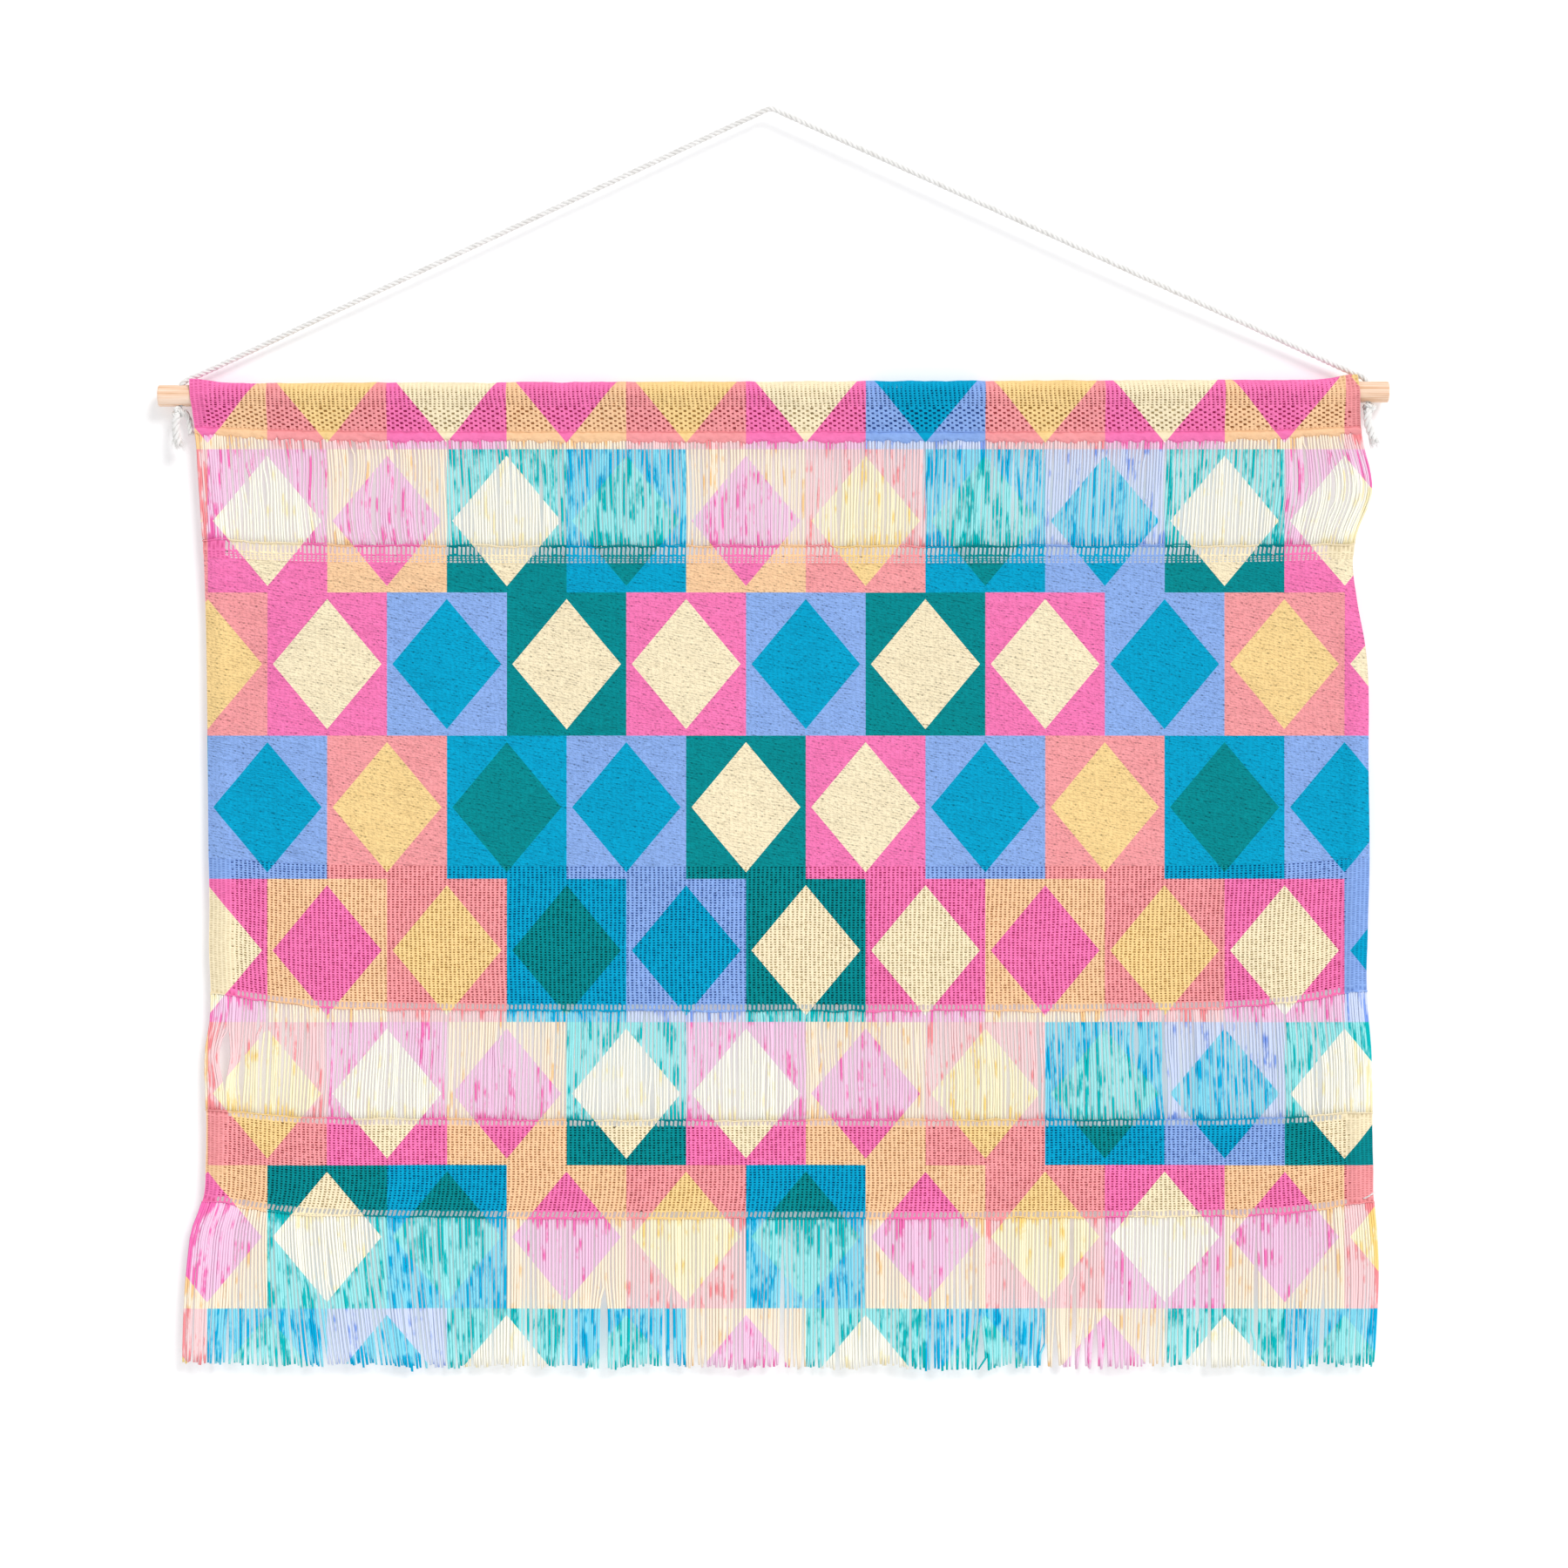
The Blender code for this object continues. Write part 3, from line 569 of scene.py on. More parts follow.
def plied(points, ply_radius, lay_radius, lay_length, plies, sides, phase=0.0, slack=1.0):
    """Plies wound round a path. slack widens the winding along it."""
    first, second = frames_along(points)
    reach = np.reshape(lay_radius * slack, (-1, 1))
    turn = TURN * along(points) / lay_length + phase
    parts = []
    for k in range(plies):
        angle = (turn + TURN * k / plies)[:, None]
        path = points + reach * (np.cos(angle) * first + np.sin(angle) * second)
        a, b = frames_along(path)
        parts.append(tube_parts(path[None], np.full((1, len(path)), ply_radius), sides, a[None], b[None]))
    return joined(parts)


LENS = 85.0
SENSOR_WIDTH = 36.0


def add_camera():
    camera = bpy.data.cameras.new("camera")
    camera.lens = LENS
    camera.sensor_width = SENSOR_WIDTH
    thing = linked("camera", camera)
    distance = PHOTO_WIDTH * PIXEL * LENS / SENSOR_WIDTH
    thing.location = (MIDDLE_RIGHT * PIXEL, -distance, -MIDDLE_BELOW * PIXEL)
    thing.rotation_euler = (math.radians(90.0), 0.0, 0.0)
    bpy.context.scene.camera = thing


# ply radius, radius and length of the lay, plies, sides of each
CORD_LAY = (1.28 * MM, 1.34 * MM, 15.0 * MM, 3, 7)
KNOT_LAY = (0.95 * MM, 1.00 * MM, 9.0 * MM, 3, 7)
LOOSE_LAY = (0.42 * MM, 0.40 * MM, 6.0 * MM, 2, 6)
TAIL_LAY_LENGTH = 17.0 * MM
KNOT_DEPTH = -2.2 * MM
KNOT_MARGIN = 1.9 * MM
FIBRE_START = 0.72
FIBRE_STEPS = 8


def make_cord(material):
    verts, faces = plied(smooth_route(CORD_ROUTE, 1.25 * MM), *CORD_LAY)
    return piece("twisted_cord", "hanging_cord", "rope", material, verts, faces)


def make_knot(name, cad_node, x, drop, half, turned, material):
    """Overhand knot pulled tight, drawn with thin plies. half is half its height."""
    t = np.linspace(0.0, TURN, 110)
    reach = (half - KNOT_MARGIN) / 3.0
    points = np.stack([x + 1.15 * reach * (np.sin(t) + 2.0 * np.sin(2.0 * t)),
                       KNOT_DEPTH - 1.8 * reach * np.sin(3.0 * t),
                       turned * reach * (np.cos(t) - 2.0 * np.cos(2.0 * t)) - drop], axis=1)
    verts, faces = plied(points, *KNOT_LAY)
    return piece(name, cad_node, "rope", material, verts, faces)


def make_tail(name, cad_node, route, radius, fibres, fray, material, draw):
    """Free end of the cord: three plies, then loose fibres at the cut."""
    points = smooth_route(route, 1.0 * MM)
    opening = 1.0 + 0.25 * along(points) / along(points)[-1]
    parts = [plied(points, 0.50 * radius, 0.54 * radius, TAIL_LAY_LENGTH, 3, 8, 0.6, opening)]
    first, second = frames_along(points)
    start = int(len(points) * FIBRE_START)
    ahead = points[-1] - points[-3]
    ahead /= np.linalg.norm(ahead)
    t = np.linspace(0.0, 1.0, FIBRE_STEPS)[:, None]
    paths = []
    for _ in range(fibres):
        angle = draw.uniform(0.0, TURN)
        reach = radius * draw.uniform(0.3, 0.95)
        side = math.cos(angle) * first[start] + math.sin(angle) * second[start]
        far = points[-1] + ahead * fray * draw.uniform(0.2, 1.0)
        far = far + side * (reach + fray * draw.uniform(0.0, 0.55))
        near = points[start] + side * reach
        curl = draw.normal(0.0, fray * 0.16, 3)
        paths.append(near + (far - near) * t + np.sin(math.pi * t) * curl)
    radii = np.linspace(0.34, 0.10, FIBRE_STEPS)[None, :] * MM * draw.uniform(0.7, 1.2, (fibres, 1))
    parts.append(tube_parts(np.array(paths), radii, 4, X_AXIS, Y_AXIS))
    verts, faces = joined(parts)
    return piece(name, cad_node, "rope", material, verts, faces)


TAIL_LEFT = ((-0.5270, -0.0030, -0.2700), (-0.5281, -0.0042, -0.2790), (-0.5275, -0.0040, -0.2870),
             (-0.5262, -0.0036, -0.2940), (-0.5254, -0.0034, -0.2975))
TAIL_LEFT_SHORT = ((-0.5215, 0.0018, -0.2655), (-0.5181, 0.0038, -0.2722), (-0.5167, 0.0042, -0.2790),
                   (-0.5160, 0.0042, -0.2862))
TAIL_RIGHT = ((0.5300, -0.0030, -0.2660), (0.5298, -0.0044, -0.2760), (0.5318, -0.0044, -0.2830),
              (0.5345, -0.0042, -0.2900), (0.5358, -0.0040, -0.2945))


def hanging_place(u, drop, lift):
    """Point of the hanging cloth, lifted towards the front."""
    return np.stack([across(u, drop), cloth_depth(u, drop) - lift, -drop], axis=-1)


SEAM_DEPTH = 0.6 * MM


def pocket_sizes(u):
    """Drop of the axis, fall to the seam, run of a face, angle where it leaves the dowel, run round it."""
    axis = dowel_drop(across(u, DOWEL_LEFT_DROP))
    fall = line_drop(SEAM, u) - axis
    straight = np.sqrt(fall ** 2 - POCKET_RADIUS ** 2)
    leave = np.arccos(POCKET_RADIUS / fall)
    arc = POCKET_RADIUS * (TURN - 2.0 * leave)
    return axis, fall, straight, leave, arc


def pocket_place(u, s, lift):
    """Point of the rod pocket, a share s of the way from the seam up the front, over and down the back."""
    axis, fall, straight, leave, arc = pocket_sizes(u)
    run = s * (2.0 * straight + arc)
    angle = leave + np.clip((run - straight) / POCKET_RADIUS, 0.0, TURN - 2.0 * leave)
    puff = POCKET_PUFF * bump(edge_distance(u), 0.0, POCKET_PUFF_REACH)
    radius = POCKET_RADIUS + puff * bump(angle, math.pi - POCKET_PUFF_ANGLE, POCKET_PUFF_SPREAD)
    depth = -radius * np.sin(angle)
    drop = axis + radius * np.cos(angle)
    # the flat faces, in front and at the back, between the seam and the dowel
    side = np.where(s < 0.5, -1.0, 1.0)
    rise = np.minimum(run, 2.0 * straight + arc - run) / straight
    face_depth = side * lerp(SEAM_DEPTH, POCKET_RADIUS * np.sin(leave), np.clip(rise, 0.0, 1.0))
    face_drop = axis + lerp(fall, POCKET_RADIUS * np.cos(leave), np.clip(rise, 0.0, 1.0))
    depth = np.where(rise < 1.0, face_depth, depth)
    drop = np.where(rise < 1.0, face_drop, drop)
    outward = np.clip(angle, leave, TURN - leave)
    lifted_depth = depth - lift * np.sin(outward)
    return np.stack([across(u, drop), lifted_depth, -drop - lift * np.cos(outward)], axis=-1)


# closed selvages: (left at the first row, at the last), (right at the first row, at the last)
POCKET_CLOSED_ENDS = ((0.008, 0.030), (0.008, 0.030))
PANEL_CLOSED_ENDS = ((0.0215, 0.0215), (0.0230, 0.0230))
LOWER_CLOSED_ENDS = ((0.0210, 0.0120), (0.0230, 0.0230))
RAISED = 0.34 * MM
SUNK = 0.12 * MM
HOLE_POINTS = 4
# share of the rim's size at the floor, depth of the floor, painted light at the rim, painted light at the
# floor
DEEP_HOLE = (0.74, 0.80 * MM, 1.00, 0.05)
CLEAR_HOLE = (0.90, 0.60 * MM, 1.00, 0.92)
FAINT_HOLE = (0.50, 0.60 * MM, 0.98, 0.45)
CLEAR_FROM = 0.8
# painted light at the middle of a dimpled cell: a dark painted shade, with no dent in the sheet
PAINTED_DIMPLE_SHADE = 0.45
COLUMN_JITTER = 0.025
ROW_JITTER = 0.035
HOLE_JITTER = 0.03
SELVAGE_STAGGER = 0.34
SELVAGE_SHADE = 0.42
SLOT_WIDTH = 2.30 * MM
SLOT_SHARE = 0.82
CLEAR_WIDTH = 2.20 * MM
CLEAR_SHARE = 0.62
# lower front of the pocket, where the weave is pulled askew
POCKET_KNIT_TOP = 0.21
POCKET_KNIT_WIDTH = 2.50 * MM
POCKET_KNIT_SHARE = 0.84
POCKET_PLAIN_FROM = 0.52


def hole_rows(count, width=HOLE_WIDTH, height=HOLE_HEIGHT / ROW_PITCH, kind=DEEP_HOLE):
    """Hole of each row: its width in metres, its height as a share of the row, and its kind's four numbers.

    The last number is 1.0 where only every other cell of the row is open, as on a chequered board.
    """
    return np.tile((width, height) + kind + (0.0,), (count, 1))


def open_weave(names, cad_node, place, row_edges, holes, closed_ends, material, draw, warp, plain_from=2.0):
    """Sheet of crossing threads with a hole in each open cell, split into one object for each name.

    row_edges are shares of the run. closed_ends gives the width of the closed selvage at the left and the
    right, each at the first and the last row. Each hole narrows towards its floor: one with a light floor is
    open there, and one with a darker floor is shut by a floor that stands for the threads behind it, painted
    dark as shade.
    Rows past the share plain_from only have dimples: no hole, and a dark shade painted at each cell's middle.
    """
    columns = int(round(CLOTH_WIDTH / COLUMN_PITCH))
    rows = len(row_edges) - 1
    u = np.broadcast_to(np.linspace(0.0, 1.0, columns + 1), (rows + 1, columns + 1)).copy()
    s = np.broadcast_to(row_edges[:, None], (rows + 1, columns + 1)).copy()
    pitch_u = COLUMN_PITCH / CLOTH_WIDTH
    pitch_s = np.diff(row_edges)
    u[:, 1:-1] += draw.normal(0.0, COLUMN_JITTER, (rows + 1, columns - 1)) * pitch_u
    s[1:-1] += draw.normal(0.0, ROW_JITTER, (rows - 1, columns + 1)) * pitch_s[1:, None]
    u, s = warp(u, s)
    corners = place(u, s, RAISED * draw.uniform(0.4, 1.3, u.shape))
    middle_u = 0.25 * (u[:-1, :-1] + u[:-1, 1:] + u[1:, :-1] + u[1:, 1:])
    middle_s = 0.25 * (s[:-1, :-1] + s[:-1, 1:] + s[1:, :-1] + s[1:, 1:])
    along_run = 0.5 * (row_edges[1:] + row_edges[:-1])[:, None]
    (left_first, left_last), (right_first, right_last) = closed_ends
    ragged = draw.normal(0.0, 0.5, middle_u.shape) * COLUMN_PITCH
    is_open = middle_u * CLOTH_WIDTH > lerp(left_first, left_last, along_run) + ragged
    is_open &= (1.0 - middle_u) * CLOTH_WIDTH > lerp(right_first, right_last, along_run) + ragged
    selvage = ~is_open
    chequered = (np.arange(rows)[:, None] + np.arange(columns)) % 2 == 0
    is_open &= chequered | (holes[:, 6:7] < 0.5)
    dimple = is_open & (along_run > plain_from)
    is_open &= ~dimple
    middle_u = middle_u + draw.normal(0.0, HOLE_JITTER, middle_u.shape) * pitch_u
    # hole points: upper left, upper right, lower right, lower left
    corner_u = np.array((-1.0, 1.0, 1.0, -1.0))
    corner_s = np.array((-1.0, -1.0, 1.0, 1.0))
    size = draw.normal(1.0, 0.14, middle_u.shape).clip(0.5, 1.3)
    size_u = holes[:, :1] / CLOTH_WIDTH * 0.5 * size * draw.normal(1.0, 0.06, middle_u.shape)
    size_s = holes[:, 1:2] * pitch_s[:, None] * 0.5 * size.clip(0.5, 1.15)
    slant = draw.normal(0.12, 0.12, middle_u.shape)[..., None]

    def ring(share, lift):
        ring_u = middle_u[..., None] + share * size_u[..., None] * (corner_u - slant * corner_s)
        ring_s = middle_s[..., None] + share * size_s[..., None] * (corner_s + slant * corner_u)
        return place(ring_u, ring_s, np.broadcast_to(lift, ring_u.shape))

    rim = ring(1.0, -SUNK)
    floor = ring(holes[:, 2, None, None], -holes[:, 3, None, None])
    stagger = SELVAGE_STAGGER * (np.arange(columns) % 3 - 1.0) * pitch_s[:, None]
    centre_s = middle_s + np.where(selvage, stagger, 0.0)
    centre = place(middle_u, centre_s, draw.uniform(-0.5, 0.1, middle_u.shape) * MM)
    # painted light and shade kept in the attribute own: at the holes' rims, on their floors, and at the
    # middle of each shut cell, lower on the selvage cells and lowest in the dimples
    painted_rim_light = np.broadcast_to(holes[:, 4:5], middle_u.shape) * draw.normal(1.0, 0.03, middle_u.shape)
    painted_floor_light = np.broadcast_to(holes[:, 5:6], middle_u.shape)
    uneven = draw.uniform(-0.10, 0.22, middle_u.shape)
    painted_floor_light = painted_floor_light + np.where(painted_floor_light < CLEAR_FROM, uneven, 0.0)
    painted_shut_light = draw.uniform(0.88, 1.0, middle_u.shape) - SELVAGE_SHADE * selvage
    painted_shut_light = np.where(dimple, PAINTED_DIMPLE_SHADE, painted_shut_light)
    parts = []
    cuts = np.linspace(0, rows, len(names) + 1).astype(int)
    for name, start, stop in zip(names, cuts, cuts[1:]):
        here = slice(start, stop)
        rings = (rim[here], floor[here], centre[here])
        lights = (painted_rim_light[here], painted_floor_light[here], painted_shut_light[here])
        parts.append(weave_part(name, cad_node, corners[start:stop + 1], rings, lights, is_open[here],
                                holes[here, 5] < CLEAR_FROM, material, draw))
    return parts


def weave_part(name, cad_node, corners, rings, lights, is_open, has_floor, material, draw):
    """One object of open and shut cells. has_floor says which rows have a floor in their holes."""
    rim, floor, centre = rings
    painted_rim_light, painted_floor_light, painted_shut_light = lights
    rows, columns = is_open.shape
    index = np.arange((rows + 1) * (columns + 1)).reshape(rows + 1, columns + 1)
    # corners of each cell: upper left, upper right, lower right, lower left
    cells = (index[:-1, :-1], index[:-1, 1:], index[1:, 1:], index[1:, :-1])
    verts = [corners.reshape(-1, 3)]
    # painted light of every point, kept in the attribute own: first a painted highlight on the cells' raised
    # corners, then the hole rims and floors and the shut cells' middles
    light = [draw.uniform(1.00, 1.18, index.size)]
    base = index.size
    opened = np.nonzero(is_open)
    shut = np.nonzero(~is_open)
    count = len(opened[0])
    hole_rings = []
    for ring, value in ((rim[opened], painted_rim_light[opened]), (floor[opened], painted_floor_light[opened])):
        verts.append(ring.reshape(-1, 3))
        light.append(np.repeat(value, HOLE_POINTS))
        hole_rings.append(base + np.arange(count * HOLE_POINTS).reshape(-1, HOLE_POINTS))
        base += count * HOLE_POINTS
    verts.append(centre[shut])
    light.append(painted_shut_light[shut])
    middle = base + np.arange(len(shut[0]))
    cell = [corner[opened] for corner in cells]
    rim_ring, floor_ring = hole_rings
    faces = []
    for i in range(HOLE_POINTS):
        j = (i + 1) % HOLE_POINTS
        faces += np.stack([cell[i], rim_ring[:, i], rim_ring[:, j], cell[j]], axis=1).tolist()
        wall = [rim_ring[:, j], rim_ring[:, i], floor_ring[:, i], floor_ring[:, j]]
        faces += np.stack(wall, axis=1).tolist()
    faces += floor_ring[has_floor[opened[0]]][:, ::-1].tolist()
    cell = [corner[shut] for corner in cells]
    for i in range(HOLE_POINTS):
        faces += np.stack([cell[i], middle, cell[(i + 1) % HOLE_POINTS]], axis=1).tolist()
    return piece(name, cad_node, "printed_cloth", material, np.vstack(verts), faces,
                 own=np.concatenate(light))


def between(top, foot):
    """Place function of a hanging band: s runs from its top line to its foot line."""
    def place(u, s, lift):
        drop = lerp(line_drop(top, u), line_drop(foot, u), s)
        return hanging_place(u, drop, lift)
    return place


def inner_share(s):
    """None at both ends of the run, full in its middle."""
    return np.sin(math.pi * np.clip(s, 0.0, 1.0))


def pocket_folds(u, s):
    """Soft pulls of the weave in the pocket, and its knit-like slant on the lower front."""
    width = u * CLOTH_WIDTH
    inner = inner_share(s)
    pull = value_noise(width / 0.045, s * 4.0, 3)
    zigzag = np.abs(width / (2.0 * COLUMN_PITCH) % 1.0 - 0.5) * 4.0 - 1.0
    s = s + (0.008 * pull + 0.0045 * bump(s, 0.10, 0.09) * zigzag) * inner
    u = u + 0.0010 * value_noise(width / 0.03, s * 6.0, 4) * inner
    return u, s


def pocket_crease_place(u, s, lift):
    """Pocket point with low diagonal wrinkles on its front face and a lumpy upper edge."""
    width = u * CLOTH_WIDTH
    wrinkle = value_noise(width / 0.021 + 3.5 * s, s * 15.0 - width / 0.08, 5)
    depth = 0.35 * MM + 0.90 * MM * bump(width, 0.535, 0.045)
    lumps = np.sin(TURN * width / COLUMN_PITCH) + 1.5 * value_noise(width / 0.011, s * 9.0, 6)
    height = depth * wrinkle * bump(s, 0.20, 0.13) + 0.36 * MM * lumps * bump(s, 0.45, 0.10)
    return pocket_place(u, s, lift + height)


def make_pocket(material, draw):
    _, _, straight, _, arc = pocket_sizes(np.array(0.5))
    total = float(2.0 * straight + arc)
    rows = int(round(total / ROW_PITCH))
    edges = np.linspace(0.0, 1.0, rows + 1)
    middle = 0.5 * (edges[1:] + edges[:-1])
    holes = hole_rows(rows, HOLE_WIDTH, 0.56)
    holes[:, 0] *= lerp(1.0, 0.80, smoothstep(0.20, 0.34, middle))
    low_front = middle < POCKET_KNIT_TOP
    holes[low_front, 0] = POCKET_KNIT_WIDTH
    holes[low_front, 1] = POCKET_KNIT_SHARE
    holes[low_front, 6] = 1.0
    # faint where the cloth turns over the dowel, and beside the seam
    faint = smoothstep(0.34, 0.44, middle) + smoothstep(0.035, 0.0, middle)
    faint_holes = hole_rows(rows, HOLE_WIDTH * 0.55, 0.40, FAINT_HOLE)
    holes = lerp(holes, faint_holes, np.clip(faint, 0.0, 1.0)[:, None])
    pocket, = open_weave(["rod_pocket"], "header_sleeve", pocket_crease_place, edges, holes,
                         POCKET_CLOSED_ENDS, material, draw, pocket_folds, POCKET_PLAIN_FROM)
    return pocket, total


STRIP_GRID = (540, 9)
WEAVE_GRID = (330, 148)


def band_grid(grid, first=0.0):
    columns, rows = grid
    return np.meshgrid(np.linspace(0.0, 1.0, columns + 1), np.linspace(first, 1.0, rows + 1))


def make_header_strip(material):
    """Closed double strip under the pocket's seam, lumpy with turned-in threads."""
    u, s = band_grid(STRIP_GRID, -0.10)
    width = u * CLOTH_WIDTH
    lumps = value_noise(width / 0.0030, s * 4.5, 8) + 0.7 * value_noise(width / 0.009, s * 3.0, 9)
    ragged = 1.1 * MM * value_noise(width / 0.006, 5.0, 10) + 1.3 * MM * value_noise(width / 0.0022, 1.0, 11)
    foot = line_drop(HEADER_FOOT, u) + 0.6 * MM
    drop = lerp(line_drop(SEAM, u), foot, s) + ragged * smoothstep(0.5, 1.0, s)
    roll = 1.8 * MM * inner_share(s) ** 0.5
    front = hanging_place(u, drop, 0.6 * MM + roll + 0.45 * MM * lumps)
    back = hanging_place(u, drop, -(0.4 * MM + 0.6 * roll))
    index = np.arange(u.size).reshape(u.shape)
    faces = grid_faces(index) + [face[::-1] for face in grid_faces(index + index.size)]
    edge = index[-1].tolist()
    faces += [(a, a + index.size, b + index.size, b) for a, b in zip(edge, edge[1:])]
    # painted shadow along a wobbly line at the seam, and painted light and shade on the lumps
    seam = 0.07 * value_noise(width / 0.004, 2.0, 12)
    painted_relief_shade = 0.97 + 0.06 * np.clip(lumps, -1.0, 1.0) - 0.40 * bump(s, seam, 0.09)
    return piece("pocket_strip", "header_sleeve", "printed_cloth", material, np.stack([front, back]), faces,
                 own=np.stack([painted_relief_shade, painted_relief_shade]))


def weave_creases(u, drop):
    """Relief of the closed weave, and the light and shade painted on it.

    Fine weft ripples, short wandering creases and soft dents.
    """
    width = u * CLOTH_WIDTH
    run = drop - (0.16 * bump(width, 0.10, 0.22) + 0.04) * width
    ripple = value_noise(width / 0.0085, run / 0.00205, 20)
    fine = value_noise(width / 0.0045, run / 0.0012, 25)
    wander = value_noise(width / 0.022, run / 0.0062, 22)
    valley = bump(wander, 0.0, 0.16)
    patchy = smoothstep(-0.25, 0.75, value_noise(width / 0.060, drop / 0.030, 23))
    patchy = patchy * (0.35 + 0.65 * bump(width, 0.08, 0.30) + 0.2 * bump(width, 0.95, 0.15))
    dents = value_noise(width / 0.07, drop / 0.05, 24)
    height = (0.24 * ripple + 0.10 * fine - 0.35 * patchy * valley + 0.60 * dents) * MM
    # painted light on the ripples and painted shade in the wandering creases, kept in the attribute own
    painted_relief_shade = 0.99 + 0.045 * ripple + 0.02 * fine - 0.05 * patchy * valley
    return height, painted_relief_shade


def make_closed_weave(material):
    u, s = band_grid(WEAVE_GRID)
    drop = lerp(line_drop(WEAVE_TOP, u), line_drop(MESH_TOP, u), s)
    height, painted_relief_shade = weave_creases(u, drop)
    points = hanging_place(u, drop, height)
    faces = grid_faces(np.arange(u.size).reshape(u.shape))
    return piece("panel_weave", "main_panel", "printed_cloth", material, points, faces, own=painted_relief_shade)


def band_pull(u, s):
    """Soft waver of a band's rows and columns, none at its two lines."""
    width = u * CLOTH_WIDTH
    inner = inner_share(s)
    s = s + 0.008 * value_noise(width / 0.035, s * 3.0, 61) * inner
    u = u + 0.0009 * value_noise(width / 0.050, s * 3.0 + 4.0, 62) * inner
    return u, s


def make_mesh_band(names, cad_node, lines, closed_ends, material, draw, first_slot=0.0, last_slot=0.0,
                   kind=DEEP_HOLE):
    """Open mesh between two lines, with a row of long slots of the given height at its head or foot."""
    height = lines[1][0] - lines[0][0]
    middle = height - first_slot - last_slot
    count = int(round(middle / ROW_PITCH))
    size = () if kind is DEEP_HOLE else (CLEAR_WIDTH, CLEAR_SHARE)
    rows = [(np.full(count, middle / count), hole_rows(count, *size, kind=kind))]
    if first_slot:
        rows.insert(0, (np.array([first_slot]), hole_rows(1, SLOT_WIDTH, SLOT_SHARE, CLEAR_HOLE)))
    if last_slot:
        rows.append((np.array([last_slot]), hole_rows(1, SLOT_WIDTH, SLOT_SHARE, CLEAR_HOLE)))
    steps = np.concatenate([step for step, _ in rows])
    holes = np.vstack([hole for _, hole in rows])
    edges = np.concatenate([[0.0], np.cumsum(steps)]) / height
    return open_weave(names, cad_node, between(*lines), edges, holes, closed_ends, material, draw, band_pull)


# partings of the strings: place sideways, half width, reach, share of the run where each starts and ends
UPPER_PARTINGS = (
    (-0.4650, 0.0016, 0.0060, 0.15, 0.75), (-0.4490, 0.0015, 0.0060, 0.20, 0.80),
    (-0.3716, 0.0011, 0.0070, -0.30, 0.55), (-0.3536, 0.0017, 0.0100, 0.20, 1.70),
    (-0.2050, 0.0010, 0.0060, 0.10, 0.90), (0.0610, 0.0009, 0.0060, 0.20, 0.90),
    (0.2220, 0.0011, 0.0060, -0.20, 0.50), (0.3330, 0.0010, 0.0060, 0.00, 0.80),
    (0.4750, 0.0012, 0.0060, -0.20, 0.80), (0.4980, 0.0014, 0.0070, 0.10, 0.90),
)
LOWER_PARTINGS = (
    (-0.4870, 0.0048, 0.0120, 0.20, 0.85), (-0.4700, 0.0024, 0.0080, 0.30, 1.00),
    (-0.4540, 0.0014, 0.0060, -0.10, 0.60), (-0.2390, 0.0013, 0.0060, 0.05, 0.60),
    (-0.1050, 0.0015, 0.0060, 0.50, 1.20), (0.0450, 0.0009, 0.0060, 0.10, 0.90),
    (0.3250, 0.0016, 0.0070, 0.05, 0.60), (0.3490, 0.0010, 0.0060, 0.30, 1.10),
    (0.4860, 0.0012, 0.0060, 0.30, 1.10),
)
FRINGE_PARTINGS = (
    (-0.4960, 0.0014, 0.0080, 0.60, 2.20), (-0.4830, 0.0024, 0.0080, 0.55, 2.20),
    (-0.4270, 0.0009, 0.0080, 0.35, 1.40), (-0.3960, 0.0008, 0.0070, 0.05, 1.20),
    (-0.3330, 0.0009, 0.0070, 0.20, 1.60), (-0.2960, 0.0011, 0.0070, 0.30, 1.60),
    (-0.1510, 0.0034, 0.0120, 0.35, 2.20), (-0.0900, 0.0012, 0.0060, 0.30, 1.60),
    (0.0100, 0.0012, 0.0060, 0.20, 1.60), (0.0560, 0.0014, 0.0060, 0.30, 1.60),
    (0.1860, 0.0034, 0.0100, 0.60, 2.20), (0.2450, 0.0026, 0.0080, 0.65, 2.20),
    (0.2540, 0.0026, 0.0080, 0.65, 2.20), (0.2685, 0.0014, 0.0090, -0.60, 2.20),
    (0.2790, 0.0030, 0.0080, 0.65, 2.20), (0.2900, 0.0026, 0.0080, 0.60, 2.20),
    (0.3020, 0.0022, 0.0070, 0.65, 2.20), (0.3820, 0.0012, 0.0070, 0.00, 1.60),
    (0.4300, 0.0014, 0.0070, 0.10, 1.20), (0.4900, 0.0014, 0.0060, 0.40, 1.60),
)
PARTING_SOFTNESS = 0.34
PARTING_WANDER = 0.22
SELVAGE_INK = 1.2
SELVAGE_INK_REACH = 7.0 * MM
# the fringe leans inwards near each selvage
LEFT_LEAN = 14.5 * MM
RIGHT_LEAN = 3.0 * MM
# waver of a band's strings everywhere, and the extra near the left selvage
SWAY_BASE = 0.52
SWAY_LEFT = 0.58
# how far from the left selvage a band's strings bend most
BEND_PLACE = 0.152
BEND_REACH = 0.050
# painted shade at the strings' backs, as a share of that at their sides
BACK_SHADE = 0.55


